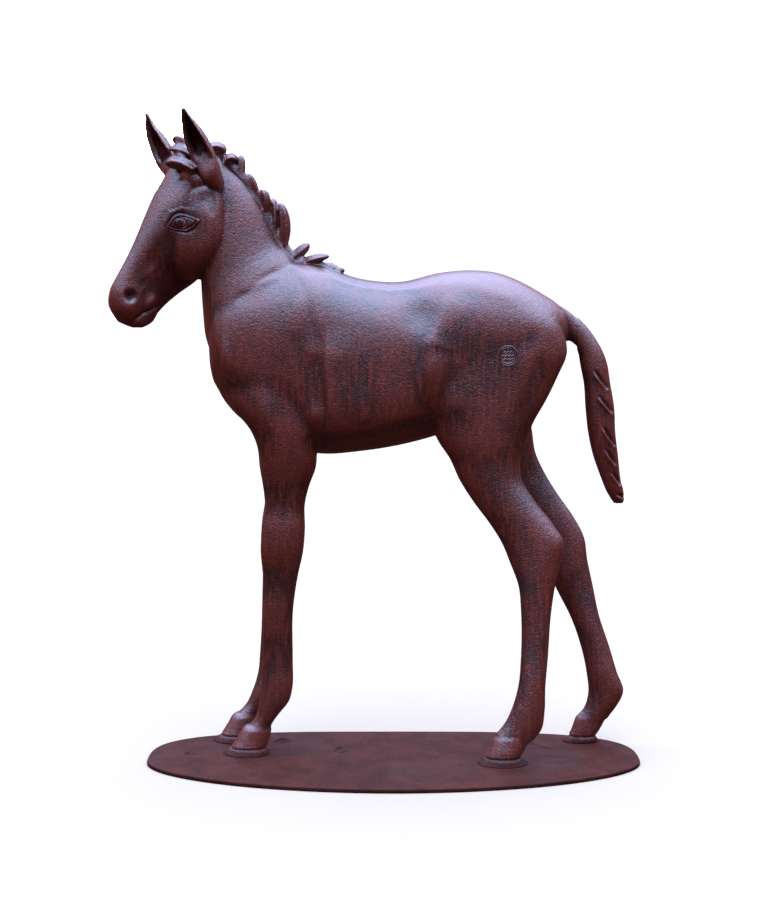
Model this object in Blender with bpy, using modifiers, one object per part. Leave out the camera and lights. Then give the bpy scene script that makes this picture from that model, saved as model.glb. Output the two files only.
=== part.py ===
# Cast iron foal standing on a thin oval plate, about life size.
# Metres, +Z up. The foal faces -X, its left side is -Y, and the origin is the centre of the plate's underside.
import math

import bmesh
import bpy
import numpy as np
from mathutils import Matrix, Vector

# Driving sizes of the foal.
FIGURE_HEIGHT = 1.262       # from the soles to the tip of the left ear
FOAL_OFFSET_Y = 0.105       # the foal stands behind the plate's long axis
SEAT_GAP = 0.0003           # between the soles and the plate

# Driving sizes of the plate.
PLATE_LENGTH = 0.966
PLATE_NEAR = 0.216          # how far it reaches from the long axis to the left side
PLATE_FAR = 0.227           # and to the right side
PLATE_THICKNESS = 0.008
PLATE_EDGE_ROUND = 0.0022
PLATE_NEAR_FULLNESS = 1.9   # 2 is an ellipse, more is squarer
PLATE_FAR_FULLNESS = 3.3
PLATE_OUTLINE_POINTS = 72
PRINT_RIM = 0.0016          # half thickness of the rims of the hoof prints on the plate

# How finely the foal is worked, and how many triangles are left of it.
WORK_CELL = 0.0038
RING_POINTS = 40
FOAL_TRIANGLES = 8300

# The foal's form is written in thousandths of its height.
SHARE = FIGURE_HEIGHT / 1000

# Turn of the head, in degrees: nose down from level, towards the left side, and tilted to the left side.
HEAD_PITCH = 62
HEAD_YAW = 32
HEAD_ROLL = 10
POLL = (-324, -2, 925)

# A rib is the outline's upper or rear point x, z, its lower or front point x, z, then the middle's y, the
# half width, where the rib is widest from its second point (0) to its first (1), and how square it is.
TORSO = [
    (-286, 668, -287, 646, 0, 16, 0.5, 2.0),
    (-280, 702, -283, 605, 0, 46, 0.5, 2.1),
    (-266, 727, -269, 565, 0, 66, 0.5, 2.2),
    (-242, 746, -250, 537, 0, 78, 0.48, 2.3),
    (-208, 758, -213, 508, 0, 84, 0.48, 2.4),
    (-160, 767, -165, 480, 0, 87, 0.48, 2.4),
    (-114, 761, -114, 470, 0, 89, 0.47, 2.6),
    (-52, 741, -52, 474, 0, 92, 0.47, 2.7),
    (10, 736, 10, 484, 0, 93, 0.48, 2.7),
    (72, 750, 72, 500, 0, 89, 0.52, 2.5),
    (118, 754, 115, 515, 0, 87, 0.54, 2.4),
    (165, 749, 160, 540, 0, 86, 0.5, 2.4),
    (200, 735, 195, 555, 0, 82, 0.5, 2.4),
    (232, 717, 226, 575, 0, 71, 0.5, 2.3),
    (257, 701, 250, 600, 0, 50, 0.5, 2.0),
    (269, 686, 264, 626, 0, 28, 0.5, 2.0),
    (274, 664, 270, 640, 0, 8, 0.5, 2.0),
]
NECK = [
    (-300, 943, -338, 880, -1, 28, 0.5, 2.0),
    (-276, 935, -318, 858, -1, 34, 0.52, 2.0),
    (-254, 915, -309, 832, 0, 36, 0.5, 2.0),
    (-230, 891, -305, 806, 0, 38, 0.48, 2.0),
    (-207, 860, -301, 779, 0, 42, 0.45, 2.0),
    (-190, 824, -298, 750, 0, 47, 0.42, 2.0),
    (-178, 798, -297, 722, 0, 53, 0.42, 2.0),
    (-163, 780, -295, 690, 0, 61, 0.42, 2.1),
    (-140, 755, -291, 650, 0, 70, 0.45, 2.1),
    (-100, 720, -270, 600, 0, 70, 0.45, 2.1),
]
# Head ribs: along the head from the poll, then out of the face, in the head's own plane.
HEAD = [
    (-18, -22, -13, -44, 0, 12, 0.5, 2.0),
    (-8, -4, -3, -62, 0, 30, 0.55, 2.1),
    (18, 2, 16, -84, 0, 41, 0.66, 2.2),
    (48, 3, 44, -104, 0, 47, 0.68, 2.3),
    (78, 3, 74, -122, 0, 48, 0.68, 2.4),
    (106, 2, 102, -132, 0, 43, 0.66, 2.4),
    (134, 1, 130, -130, 0, 36, 0.62, 2.3),
    (160, 0, 156, -120, 0, 30, 0.58, 2.3),
    (186, 0, 182, -106, 0, 26, 0.55, 2.2),
    (210, 0, 206, -95, 0, 25, 0.54, 2.2),
    (230, -2, 226, -88, 0, 27, 0.52, 2.2),
    (246, -9, 243, -84, 0, 26, 0.5, 2.1),
    (258, -21, 255, -77, 0, 22, 0.5, 2.1),
    (267, -38, 264, -64, 0, 11, 0.5, 2.0),
]

# The left jaw stands out from the neck. Its ribs are swung about an upright line through its rear edge.
CHEEK = [
    (-262, 893, -302, 893, -30, 8, 0.6, 2.0),
    (-252, 880, -328, 876, -33, 16, 0.68, 2.1),
    (-247, 858, -344, 850, -35, 20, 0.72, 2.1),
    (-246, 835, -350, 825, -36, 22, 0.74, 2.1),
    (-247, 812, -350, 800, -36, 22, 0.74, 2.1),
    (-253, 790, -346, 780, -35, 21, 0.74, 2.1),
    (-263, 770, -342, 762, -31, 19, 0.72, 2.1),
    (-279, 754, -336, 748, -25, 15, 0.68, 2.0),
    (-297, 740, -330, 741, -18, 9, 0.6, 2.0),
]
CHEEK_REAR = -256
CHEEK_SWING = -18           # degrees

NEAR_FORE = [
    (-160, 720, -195, 712, -40, 12, 0.5, 2.0),
    (-135, 672, -226, 664, -44, 30, 0.52, 2.0),
    (-116, 620, -250, 612, -45, 37, 0.52, 2.0),
    (-110, 575, -259, 568, -46, 38, 0.52, 2.1),
    (-111, 540, -244, 540, -47, 38, 0.5, 2.2),
    (-113, 515, -223, 515, -48, 37, 0.5, 2.1),
    (-117, 489, -211, 489, -49, 34, 0.5, 2.1),
    (-120, 452, -206, 452, -49, 30, 0.5, 2.1),
    (-129, 428, -202, 428, -48, 27, 0.5, 2.1),
    (-137, 396, -199, 396, -47, 24, 0.5, 2.2),
    (-137, 358, -204, 358, -47, 27, 0.5, 2.4),
    (-140, 322, -206, 322, -47, 26, 0.5, 2.4),
    (-148, 285, -203, 285, -46, 20, 0.5, 2.2),
    (-156, 230, -203, 230, -46, 18, 0.5, 2.1),
    (-157, 150, -204, 150, -42, 18, 0.5, 2.1),
    (-158, 104, -206, 104, -41, 21, 0.5, 2.2),
    (-164, 82, -211, 77, -40, 21, 0.5, 2.2),
    (-179, 63, -216, 58, -40, 18, 0.5, 2.1),
    (-190, 47, -225, 46, -39, 18, 0.5, 2.1),
    (-195, 34, -236, 36, -39, 21, 0.5, 2.1),
]
NEAR_FORE_HOOF = [
    (-193, 44, -232, 44, -39, 17, 0.5, 2.2),
    (-192, 33, -240, 33, -39, 21, 0.5, 2.3),
    (-195, 20, -248, 20, -39, 23, 0.5, 2.3),
    (-199, 8, -256, 8, -39, 25, 0.5, 2.3),
    (-198, 5, -258, 5, -39, 25, 0.5, 2.3),
    (-195, 2, -264, 2, -39, 30, 0.5, 2.3),
    (-193, -2, -268, -2, -39, 33, 0.5, 2.3),
    (-193, -12, -268, -12, -39, 33, 0.5, 2.3),
]
NEAR_HIND = [
    (200, 722, 130, 726, -38, 14, 0.5, 2.0),
    (240, 690, 92, 696, -40, 30, 0.5, 2.2),
    (260, 660, 62, 664, -42, 38, 0.5, 2.6),
    (266, 630, 48, 630, -44, 42, 0.45, 2.8),
    (253, 597, 45, 597, -46, 42, 0.42, 2.8),
    (235, 559, 48, 559, -49, 41, 0.42, 2.6),
    (214, 521, 57, 521, -52, 39, 0.5, 2.2),
    (204, 493, 69, 493, -55, 36, 0.5, 2.1),
    (196, 470, 85, 470, -57, 32, 0.5, 2.1),
    (197, 438, 100, 438, -60, 28, 0.5, 2.1),
    (218, 403, 122, 403, -64, 25, 0.5, 2.1),
    (246, 367, 149, 367, -68, 23, 0.5, 2.2),
    (262, 340, 167, 338, -71, 22, 0.5, 2.3),
    (257, 311, 179, 309, -74, 21, 0.5, 2.3),
    (249, 274, 192, 274, -78, 19, 0.5, 2.2),
    (243, 234, 196, 234, -82, 17, 0.5, 2.1),
    (238, 163, 196, 163, -89, 17, 0.5, 2.1),
    (234, 116, 192, 118, -94, 19, 0.5, 2.2),
    (233, 79, 182, 83, -97, 20, 0.5, 2.2),
    (228, 51, 171, 61, -99, 19, 0.5, 2.1),
    (212, 33, 158, 45, -100, 18, 0.5, 2.1),
]
NEAR_HIND_HOOF = [
    (213, 44, 164, 49, -100, 16, 0.5, 2.2),
    (207, 29, 153, 35, -100, 21, 0.5, 2.3),
    (201, 18, 147, 22, -100, 24, 0.5, 2.3),
    (197, 9, 141, 9, -100, 25, 0.5, 2.3),
    (198, 5, 140, 5, -100, 25, 0.5, 2.3),
    (204, 2, 133, 2, -101, 31, 0.5, 2.3),
    (208, -2, 128, -2, -102, 35, 0.5, 2.3),
    (208, -12, 128, -12, -102, 35, 0.5, 2.3),
]
FAR_HIND = [
    (200, 722, 130, 726, 38, 14, 0.5, 2.0),
    (240, 690, 92, 696, 42, 32, 0.5, 2.2),
    (262, 660, 62, 664, 45, 42, 0.5, 2.3),
    (268, 630, 50, 630, 48, 47, 0.5, 2.3),
    (252, 597, 50, 597, 49, 46, 0.5, 2.3),
    (233, 559, 60, 559, 50, 44, 0.5, 2.2),
    (218, 521, 78, 521, 51, 40, 0.5, 2.2),
    (221, 493, 96, 493, 52, 36, 0.5, 2.1),
    (225, 465, 118, 465, 53, 32, 0.5, 2.1),
    (238, 435, 137, 435, 55, 28, 0.5, 2.1),
    (261, 397, 164, 397, 54, 25, 0.5, 2.1),
    (287, 360, 194, 360, 53, 23, 0.5, 2.2),
    (304, 327, 219, 324, 52, 22, 0.5, 2.3),
    (309, 293, 240, 287, 50, 21, 0.5, 2.3),
    (318, 251, 261, 243, 47, 18, 0.5, 2.2),
    (328, 204, 283, 200, 43, 17, 0.5, 2.1),
    (345, 153, 301, 148, 40, 17, 0.5, 2.1),
    (358, 110, 309, 110, 38, 19, 0.5, 2.2),
    (368, 81, 312, 79, 37, 18, 0.5, 2.2),
    (356, 55, 305, 53, 36, 17, 0.5, 2.1),
    (342, 37, 293, 39, 36, 16, 0.5, 2.1),
]
FAR_HIND_HOOF = [
    (342, 45, 299, 46, 36, 14, 0.5, 2.2),
    (336, 29, 290, 32, 36, 17, 0.5, 2.3),
    (330, 18, 286, 20, 36, 18, 0.5, 2.3),
    (325, 9, 281, 9, 36, 18, 0.5, 2.3),
    (325, 5, 280, 5, 36, 18, 0.5, 2.3),
    (328, 2, 274, 2, 36, 20, 0.5, 2.3),
    (331, -2, 270, -2, 36, 21, 0.5, 2.3),
    (331, -12, 270, -12, 36, 21, 0.5, 2.3),
]
TAIL = [
    (236, 706, 236, 660, 0, 18, 0.5, 2.0),
    (262, 699, 254, 660, 0, 15, 0.5, 2.0),
    (285, 682, 268, 642, 0, 13, 0.5, 2.0),
    (304, 662, 280, 634, 0, 13, 0.5, 2.0),
    (320, 638, 286, 628, 0, 15, 0.5, 2.1),
    (331, 613, 290, 608, 0, 17, 0.5, 2.1),
    (337, 580, 296, 578, 0, 18, 0.5, 2.1),
    (344, 540, 299, 540, 0, 19, 0.5, 2.1),
    (346, 503, 303, 505, 0, 19, 0.5, 2.1),
    (351, 464, 311, 468, 0, 17, 0.5, 2.1),
    (355, 430, 323, 434, 0, 14, 0.5, 2.0),
    (361, 402, 336, 404, 0, 10, 0.5, 2.0),
    (360, 390, 345, 390, 0, 5, 0.5, 2.0),
]
# The far foreleg is the near one, stepped forward: height, then how far.
FAR_FORE_STEP = [(0, -21), (50, -22), (95, -12), (170, -7), (350, -4), (700, 0)]
FAR_FORE_HOOF_Y = 5         # how much further out than the near hoof it stands

# An ear is the middle of its rim from root to tip, x, y, z, the half width, the depth of its back, and how much
# of that depth is hollow (below 0 the front is full). Then the way the hollow faces.
NEAR_EAR = [
    (-266, -34, 866, 4, 4, -1.0),
    (-271, -36, 886, 11, 11, -1.0),
    (-279, -39, 905, 16, 19, -0.8),
    (-290, -43, 925, 19, 25, 0.1),
    (-299, -46, 943, 19, 27, 0.76),
    (-306, -48, 959, 17, 25, 0.8),
    (-312, -50, 976, 12, 17, 0.72),
    (-317, -51, 991, 7, 9, 0.3),
    (-319, -52, 1002, 3, 4, -0.8),
]
NEAR_EAR_FACES = (-0.55, -0.82, 0.12)
FAR_EAR = [
    (-326, 30, 886, 8, 8, -1.0),
    (-335, 34, 900, 14, 14, -1.0),
    (-347, 38, 913, 19, 18, -0.6),
    (-358, 41, 926, 22, 20, 0.3),
    (-367, 43, 941, 21, 21, 0.72),
    (-374, 45, 956, 18, 18, 0.76),
    (-380, 47, 971, 13, 12, 0.66),
    (-383, 48, 985, 8, 7, 0.3),
    (-384, 49, 995, 3, 4, -0.8),
]
FAR_EAR_FACES = (-0.84, -0.54, 0.12)
EAR_LIP = 0.74              # the hollow is this much of the ear's width, the rest is its rims

# A lock of hair is its root, bend and tip, x, y, z each, with its half width in profile and from side to side.
MANE = [
    (-290, 0, 925, -276, 3, 952, -257, 2, 934, 10, 11),
    (-264, 0, 908, -253, -4, 934, -240, -4, 922, 8.5, 10),
    (-240, 0, 890, -232, 4, 914, -236, 3, 932, 7.5, 10),
    (-210, 0, 858, -212, -2, 886, -223, -2, 903, 5.5, 8),
    (-200, 0, 838, -193, -3, 866, -204, -3, 879, 7.5, 10),
    (-187, 0, 800, -180, 3, 840, -187, 3, 865, 8, 10),
    (-173, 0, 782, -161, -3, 824, -175, -1, 858, 8, 10),
    (-162, 0, 766, -146, 2, 782, -130, 2, 795, 8, 10),
    (-150, 0, 760, -126, -4, 774, -99, -4, 776, 6.5, 10),
    (-122, 0, 756, -104, 3, 762, -88, 3, 759, 5.5, 9),
    (-98, 0, 750, -86, -2, 757, -75, -2, 753, 4.5, 8),
]
FORELOCK = [
    (-304, -8, 914, -320, -8, 940, -336, -5, 932, 13, 17),
    (-318, -8, 936, -328, -4, 962, -338, 0, 950, 8, 9),
    (-304, -24, 928, -326, -12, 946, -345, 3, 939, 6, 10),
    (-302, -34, 908, -330, -22, 926, -348, -2, 917, 10, 12),
]
# The bed of short hair that the mane's locks grow from.
CREST = [(-300, 932), (-272, 925), (-248, 908), (-226, 884), (-208, 856), (-192, 820), (-178, 795), (-160, 773),
         (-130, 762), (-95, 753)]
CREST_HALF = 11

# A swelling is its middle x, y, z, its reach along x, y, z, its lean in profile (degrees) and its height.
SWELLINGS = [
    (-128, 84, 700, 16, 34, 44, -14, 4),
    (-258, 58, 642, 24, 30, 26, 0, 5),
    (-160, 88, 596, 40, 34, 70, -8, 6),
    (-122, 84, 644, 15, 24, 13, 0, 4),
    (-118, 80, 536, 14, 26, 17, 0, 5),
    (-197, 88, 548, 12, 30, 34, 6, 3),
    (-255, 64, 625, 10, 26, 26, 6, 4),
    (-270, 34, 600, 20, 20, 32, 0, 3),
    (-280, 0, 600, 20, 9, 40, 0, -4),
    (-10, 92, 600, 80, 34, 74, 0, 3),
    (44, 84, 694, 20, 34, 30, 12, -8),
    (76, 88, 610, 20, 30, 62, 4, 6),
    (160, 90, 656, 62, 36, 58, 0, 4),
    (234, 70, 676, 26, 30, 22, 0, 5),
    (262, 0, 640, 30, 14, 50, 0, -7),
    (206, 80, 600, 30, 26, 54, 18, 3),
    (-182, 70, 470, 20, 24, 50, 0, 3),
]
# A furrow is its way in profile, x, z, its width, its depth (a ridge is below 0) and how far it is cut.
FURROWS = [
    ([(-146, 772), (-174, 758), (-205, 740), (-250, 704)], 7, 2),
    ([(-146, 752), (-134, 738), (-125, 720), (-121, 690), (-119, 660)], 7, -3),
    ([(-96, 648), (-99, 600), (-93, 556), (-90, 515)], 8, 3),
    ([(-112, 504), (-67, 505), (-21, 511), (14, 520), (50, 532)], 9, 2.5),
    ([(32, 650), (38, 604), (40, 570), (52, 536)], 8, 3),
    ([(58, 664), (70, 698), (78, 733)], 6, -3),
    ([(-146, 762), (-88, 742), (-52, 729), (-6, 723), (40, 728), (66, 735)], 6, -2.4),
    ([(66, 733), (116, 729), (152, 720), (190, 710)], 7, -2.2),
    ([(240, 640), (234, 600), (222, 560), (206, 524)], 10, 2.5),
    ([(309, 604), (331, 573)], 4, 4),
    ([(316, 565), (339, 536)], 4, 4),
    ([(322, 519), (344, 484)], 4, 4),
    ([(329, 480), (346, 454)], 4, 4),
    ([(340, 444), (354, 422)], 4, 3),
]
# The same on both sides of the head, in the head's own plane.
HEAD_SWELLINGS = [
    (223, -22, 8, 8, -12),
    (223, -22, 14, 13, 3),
    (214, -57, 11, 8, 4),
    (252, -67, 10, 9, 3),
    (40, -28, 15, 10, -4),
    (88, -78, 34, 30, 2),
    (150, -22, 40, 9, -2),
]
HEAD_FURROWS = [
    ([(264, -46), (252, -47), (237, -54), (225, -67), (211, -79)], 4, 4),
    ([(207, -28), (190, -30), (170, -38)], 5, 2),
    ([(151, -46), (160, -62), (169, -88)], 6, 2),
    ([(108, -4), (90, 1), (74, -4), (63, -20), (58, -42)], 6, -4),
    ([(110, -16), (106, -30), (92, -46), (72, -54)], 4, 2),
]
EYE = (87, -26)
EYE_HALF = (17, 10)
EYE_LEAN = 54               # degrees, from the front corner up to the rear one
EYE_HEIGHT = 5

# Marks cast on the plate, in metres.
HOOF_PRINTS = [
    (0.044, 0.021, 0.034, 0.028),
    (0.138, 0.032, 0.033, 0.030),
    (0.088, 0.165, 0.029, 0.022),
    (0.152, 0.168, 0.030, 0.024),
    (0.312, 0.002, 0.031, 0.026),
]
GRASS_BLADES = [
    (-0.243, 0.136, -0.206, 0.168, 0.004, 0.005),
    (-0.232, 0.128, -0.196, 0.150, 0.004, 0.004),
    (-0.118, 0.058, -0.098, 0.108, 0.006, 0.005),
    (-0.108, 0.052, -0.082, 0.066, 0.005, 0.004),
    (-0.414, 0.036, -0.400, 0.052, 0.006, 0.005),
    (-0.404, 0.044, -0.388, 0.040, 0.004, 0.004),
    (0.258, 0.138, 0.300, 0.108, 0.007, 0.004),
    (0.290, 0.112, 0.326, 0.072, 0.005, 0.003),
]


def curve_through(rows, count):
    """The rows of a table, read at evenly spaced places from a smooth curve through them."""
    rows = np.array(rows, float)
    middle = (rows[:, 0:2] + rows[:, 2:4]) / 2 if rows.shape[1] == 8 else rows[:, :3]
    step = np.linalg.norm(np.diff(middle, axis=0), axis=1)
    at = np.concatenate([[0.0], np.cumsum(step)])
    slope = np.gradient(rows, at, axis=0)
    where = np.linspace(0, at[-1], count)
    i = np.clip(np.searchsorted(at, where, side="right") - 1, 0, len(at) - 2)
    span = (at[i + 1] - at[i])[:, None]
    t = (where - at[i])[:, None] / span
    return (
        rows[i] * (2 * t**3 - 3 * t**2 + 1)
        + slope[i] * span * (t**3 - 2 * t**2 + t)
        + rows[i + 1] * (3 * t**2 - 2 * t**3)
        + slope[i + 1] * span * (t**3 - t**2)
    )


def circle(points=RING_POINTS):
    turn = np.linspace(0, 2 * math.pi, points, endpoint=False)
    return np.cos(turn), np.sin(turn)


def skin(bm, rings):
    """Adds the closed skin over rings of points, an array of rings by points by 3."""
    made = [[bm.verts.new(p) for p in ring] for ring in rings.tolist()]
    for a, b in zip(made, made[1:]):
        for k in range(len(a)):
            bm.faces.new((a[k], a[k - 1], b[k - 1], b[k]))
    bm.faces.new(made[0])
    bm.faces.new(made[-1][::-1])


def rib_tube(bm, rows, count, place=None):
    """Adds a tube over ribs. Each ring lies along its rib, a superellipse that is lopsided about its widest place."""
    table = curve_through(rows, count)
    first, second, y = table[:, 0:2], table[:, 2:4], table[:, 4]
    half, widest, square = table[:, 5:6], table[:, 6:7], table[:, 7:8]
    middle = second + (first - second) * widest
    c, s = circle()
    c = np.sign(c) * np.abs(c) ** (2 / square)
    s = np.sign(s) * np.abs(s) ** (2 / square)
    reach = np.where(s[..., None] > 0, (first - middle)[:, None], (middle - second)[:, None]) * s[..., None]
    rings = np.empty((count, RING_POINTS, 3))
    rings[..., 0] = middle[:, :1] + reach[..., 0]
    rings[..., 1] = y[:, None] + half * c
    rings[..., 2] = middle[:, 1:] + reach[..., 1]
    if place is not None:
        rings = rings @ np.array(place.to_3x3()).T + np.array(place.translation)
    skin(bm, rings)


def shifted_leg(rows, extra_y):
    """The near foreleg's ribs on the far side, stepped forward by their height."""
    heights, steps = zip(*FAR_FORE_STEP)
    made = []
    for x1, z1, x2, z2, y, half, widest, square in rows:
        height = (z1 + z2) / 2
        step = np.interp(height, heights, steps)
        out = extra_y * min(1.0, max(0.0, 1 - height / 500))
        made.append((x1 + step, z1, x2 + step, z2, -y + out, half, widest, square))
    return made


def head_frame():
    """Turns the head's own axes, along the face, to its left side and out of the face, into the foal's."""
    pitch, yaw, roll = (math.radians(a) for a in (HEAD_PITCH, HEAD_YAW, HEAD_ROLL))
    along = Vector((-math.cos(pitch), 0, -math.sin(pitch)))
    out = Vector((-math.sin(pitch), 0, math.cos(pitch)))
    left = out.cross(along)
    turn = Matrix.Rotation(yaw, 3, "Z") @ Matrix.Rotation(roll, 3, "X")
    axes = Matrix([turn @ along, turn @ left, turn @ out]).transposed()
    return Matrix.Translation(POLL) @ axes.to_4x4()


def ear(bm, rows, faces, count):
    """Adds an ear: a leaf with a round back and a hollow on the side it faces."""
    table = curve_through(rows, count)
    centre, half, back, hollow = table[:, :3], table[:, 3:4], table[:, 4:5], table[:, 5:6]
    along = np.gradient(centre, axis=0)
    along /= np.linalg.norm(along, axis=1)[:, None]
    across = np.cross(along, np.array(faces))
    across /= np.linalg.norm(across, axis=1)[:, None]
    front = np.cross(across, along)
    c, s = circle()
    c = np.where((s < 0) & (hollow > 0), c * EAR_LIP, c)
    depth = np.where(s > 0, s * back, -s * back * hollow)
    rings = centre[:, None] + across[:, None] * (half * c)[..., None] - front[:, None] * depth[..., None]
    skin(bm, rings)


def lock(bm, row, count=12):
    """Adds a lock of hair: full for most of its length, round at the tip, bent over its middle point."""
    root, bend, tip = (np.array(row[i:i + 3], float) for i in (0, 3, 6))
    t = np.linspace(0, 1, count)[:, None]
    centre = root * (1 - t) ** 2 + 2 * bend * t * (1 - t) + tip * t**2
    along = np.gradient(centre, axis=0)
    along /= np.linalg.norm(along, axis=1)[:, None]
    side = np.cross(along, (0.0, 1.0, 0.0))
    side /= np.linalg.norm(side, axis=1)[:, None]
    flat = np.cross(side, along)
    thick = np.sqrt(np.clip(1 - (np.clip(t - 0.4, 0, 1) / 0.6) ** 3, 0.03, 1))
    thick = thick * (0.7 + 0.3 * np.clip(t / 0.4, 0, 1))
    c, s = circle(16)
    rings = centre[:, None] + side[:, None] * (row[9] * thick * c)[..., None]
    rings = rings + flat[:, None] * (row[10] * thick * s)[..., None]
    skin(bm, rings)


def crest_bed(bm):
    rows = [(x, 0, z) for x, z in CREST]
    centre = curve_through(rows, 40)
    c, s = circle(16)
    rings = centre[:, None] + np.stack([c * CREST_HALF, s * CREST_HALF, c * CREST_HALF], 1)[None] * 0.8
    skin(bm, rings)


def nearness(flat, way, width):
    """1 on the way and falling to 0 beside it, for points in a plane."""
    best = np.full(len(flat), 1e9)
    way = np.array(way, float)
    for a, b in zip(way, way[1:]):
        t = np.clip((flat - a) @ (b - a) / ((b - a) @ (b - a)), 0, 1)
        best = np.minimum(best, np.linalg.norm(flat - a - t[:, None] * (b - a), axis=1))
    return np.exp(-((best / width) ** 2))


def rise(low, high, value):
    t = np.clip((value - low) / (high - low), 0, 1)
    return t * t * (3 - 2 * t)


def body_relief(at, facing):
    """How far each point stands out from the plain body, in shares of the height."""
    height = np.zeros(len(at))
    for x, y, z, rx, ry, rz, lean, tall in SWELLINGS:
        a = math.radians(lean)
        dx = (at[:, 0] - x) * math.cos(a) + (at[:, 2] - z) * math.sin(a)
        dz = (at[:, 2] - z) * math.cos(a) - (at[:, 0] - x) * math.sin(a)
        dy = np.abs(at[:, 1]) - y
        height += tall * np.exp(-((dx / rx) ** 2) - (dy / ry) ** 2 - (dz / rz) ** 2)
    sides = rise(0.1, 0.5, np.abs(facing[:, 1]))
    for way, width, deep in FURROWS:
        on_tail = min(x for x, z in way) > 300
        mark = nearness(at[:, [0, 2]], way, width) * deep
        height -= mark if on_tail else mark * sides * rise(30, 55, np.abs(at[:, 1]))
    return height * rise(-262, -240, at[:, 0] + 0.9 * (820 - at[:, 2]).clip(0))


def head_relief(at, facing):
    """How far each point of the head stands out from its plain form."""
    frame = head_frame().inverted()
    turn = np.array(frame.to_3x3())
    own = at @ turn.T + np.array(frame.translation)
    flat = own[:, [0, 2]]
    sides = rise(0.15, 0.6, np.abs(facing @ turn[1]))
    on_head = rise(0, 20, own[:, 0]) * rise(-135, -120, own[:, 2]) * (own[:, 2] < 30)
    height = np.zeros(len(at))
    for along, out, ra, ro, tall in HEAD_SWELLINGS:
        height += tall * np.exp(-(((own[:, 0] - along) / ra) ** 2) - ((own[:, 2] - out) / ro) ** 2)
    for way, width, deep in HEAD_FURROWS:
        height -= nearness(flat, way, width) * deep
    a = math.radians(EYE_LEAN)
    du = (own[:, 0] - EYE[0]) * math.cos(a) + (own[:, 2] - EYE[1]) * math.sin(a)
    dv = (own[:, 2] - EYE[1]) * math.cos(a) - (own[:, 0] - EYE[0]) * math.sin(a)
    r = np.hypot(du / EYE_HALF[0], dv / EYE_HALF[1])
    height += EYE_HEIGHT * np.sqrt(np.clip(1 - r**2, 0, 1)) - 4 * np.exp(-(((r - 1.15) / 0.22) ** 2))
    return height * sides * on_head


def placed(bm, name):
    """Scales the foal from shares of its height and stands it on the plate."""
    stand = Matrix.Translation((0, FOAL_OFFSET_Y, PLATE_THICKNESS + SEAT_GAP)) @ Matrix.Scale(SHARE, 4)
    bmesh.ops.transform(bm, verts=bm.verts, matrix=stand)
    return as_object(bm, name)


def as_object(bm, name):
    mesh = bpy.data.meshes.new(name)
    bm.to_mesh(mesh)
    bm.free()
    obj = bpy.data.objects.new(name, mesh)
    bpy.context.scene.collection.objects.link(obj)
    return obj


def settle(obj):
    """Turns an object's modifiers into its own mesh."""
    graph = bpy.context.evaluated_depsgraph_get()
    mesh = bpy.data.meshes.new_from_object(obj.evaluated_get(graph))
    obj.modifiers.clear()
    old = obj.data
    obj.data = mesh
    bpy.data.meshes.remove(old)
    mesh.name = obj.name


def points_of(obj):
    at = np.empty(len(obj.data.vertices) * 3)
    obj.data.vertices.foreach_get("co", at)
    return at.reshape(-1, 3)


def cut_soles(obj, level):
    bm = bmesh.new()
    bm.from_mesh(obj.data)
    everything = bm.verts[:] + bm.edges[:] + bm.faces[:]
    bmesh.ops.bisect_plane(bm, geom=everything, plane_co=(0, 0, level), plane_no=(0, 0, -1), clear_outer=True)
    rim = [e for e in bm.edges if e.is_boundary]
    bmesh.ops.holes_fill(bm, edges=rim)
    bmesh.ops.triangulate(bm, faces=bm.faces[:])
    bm.to_mesh(obj.data)
    bm.free()


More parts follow.
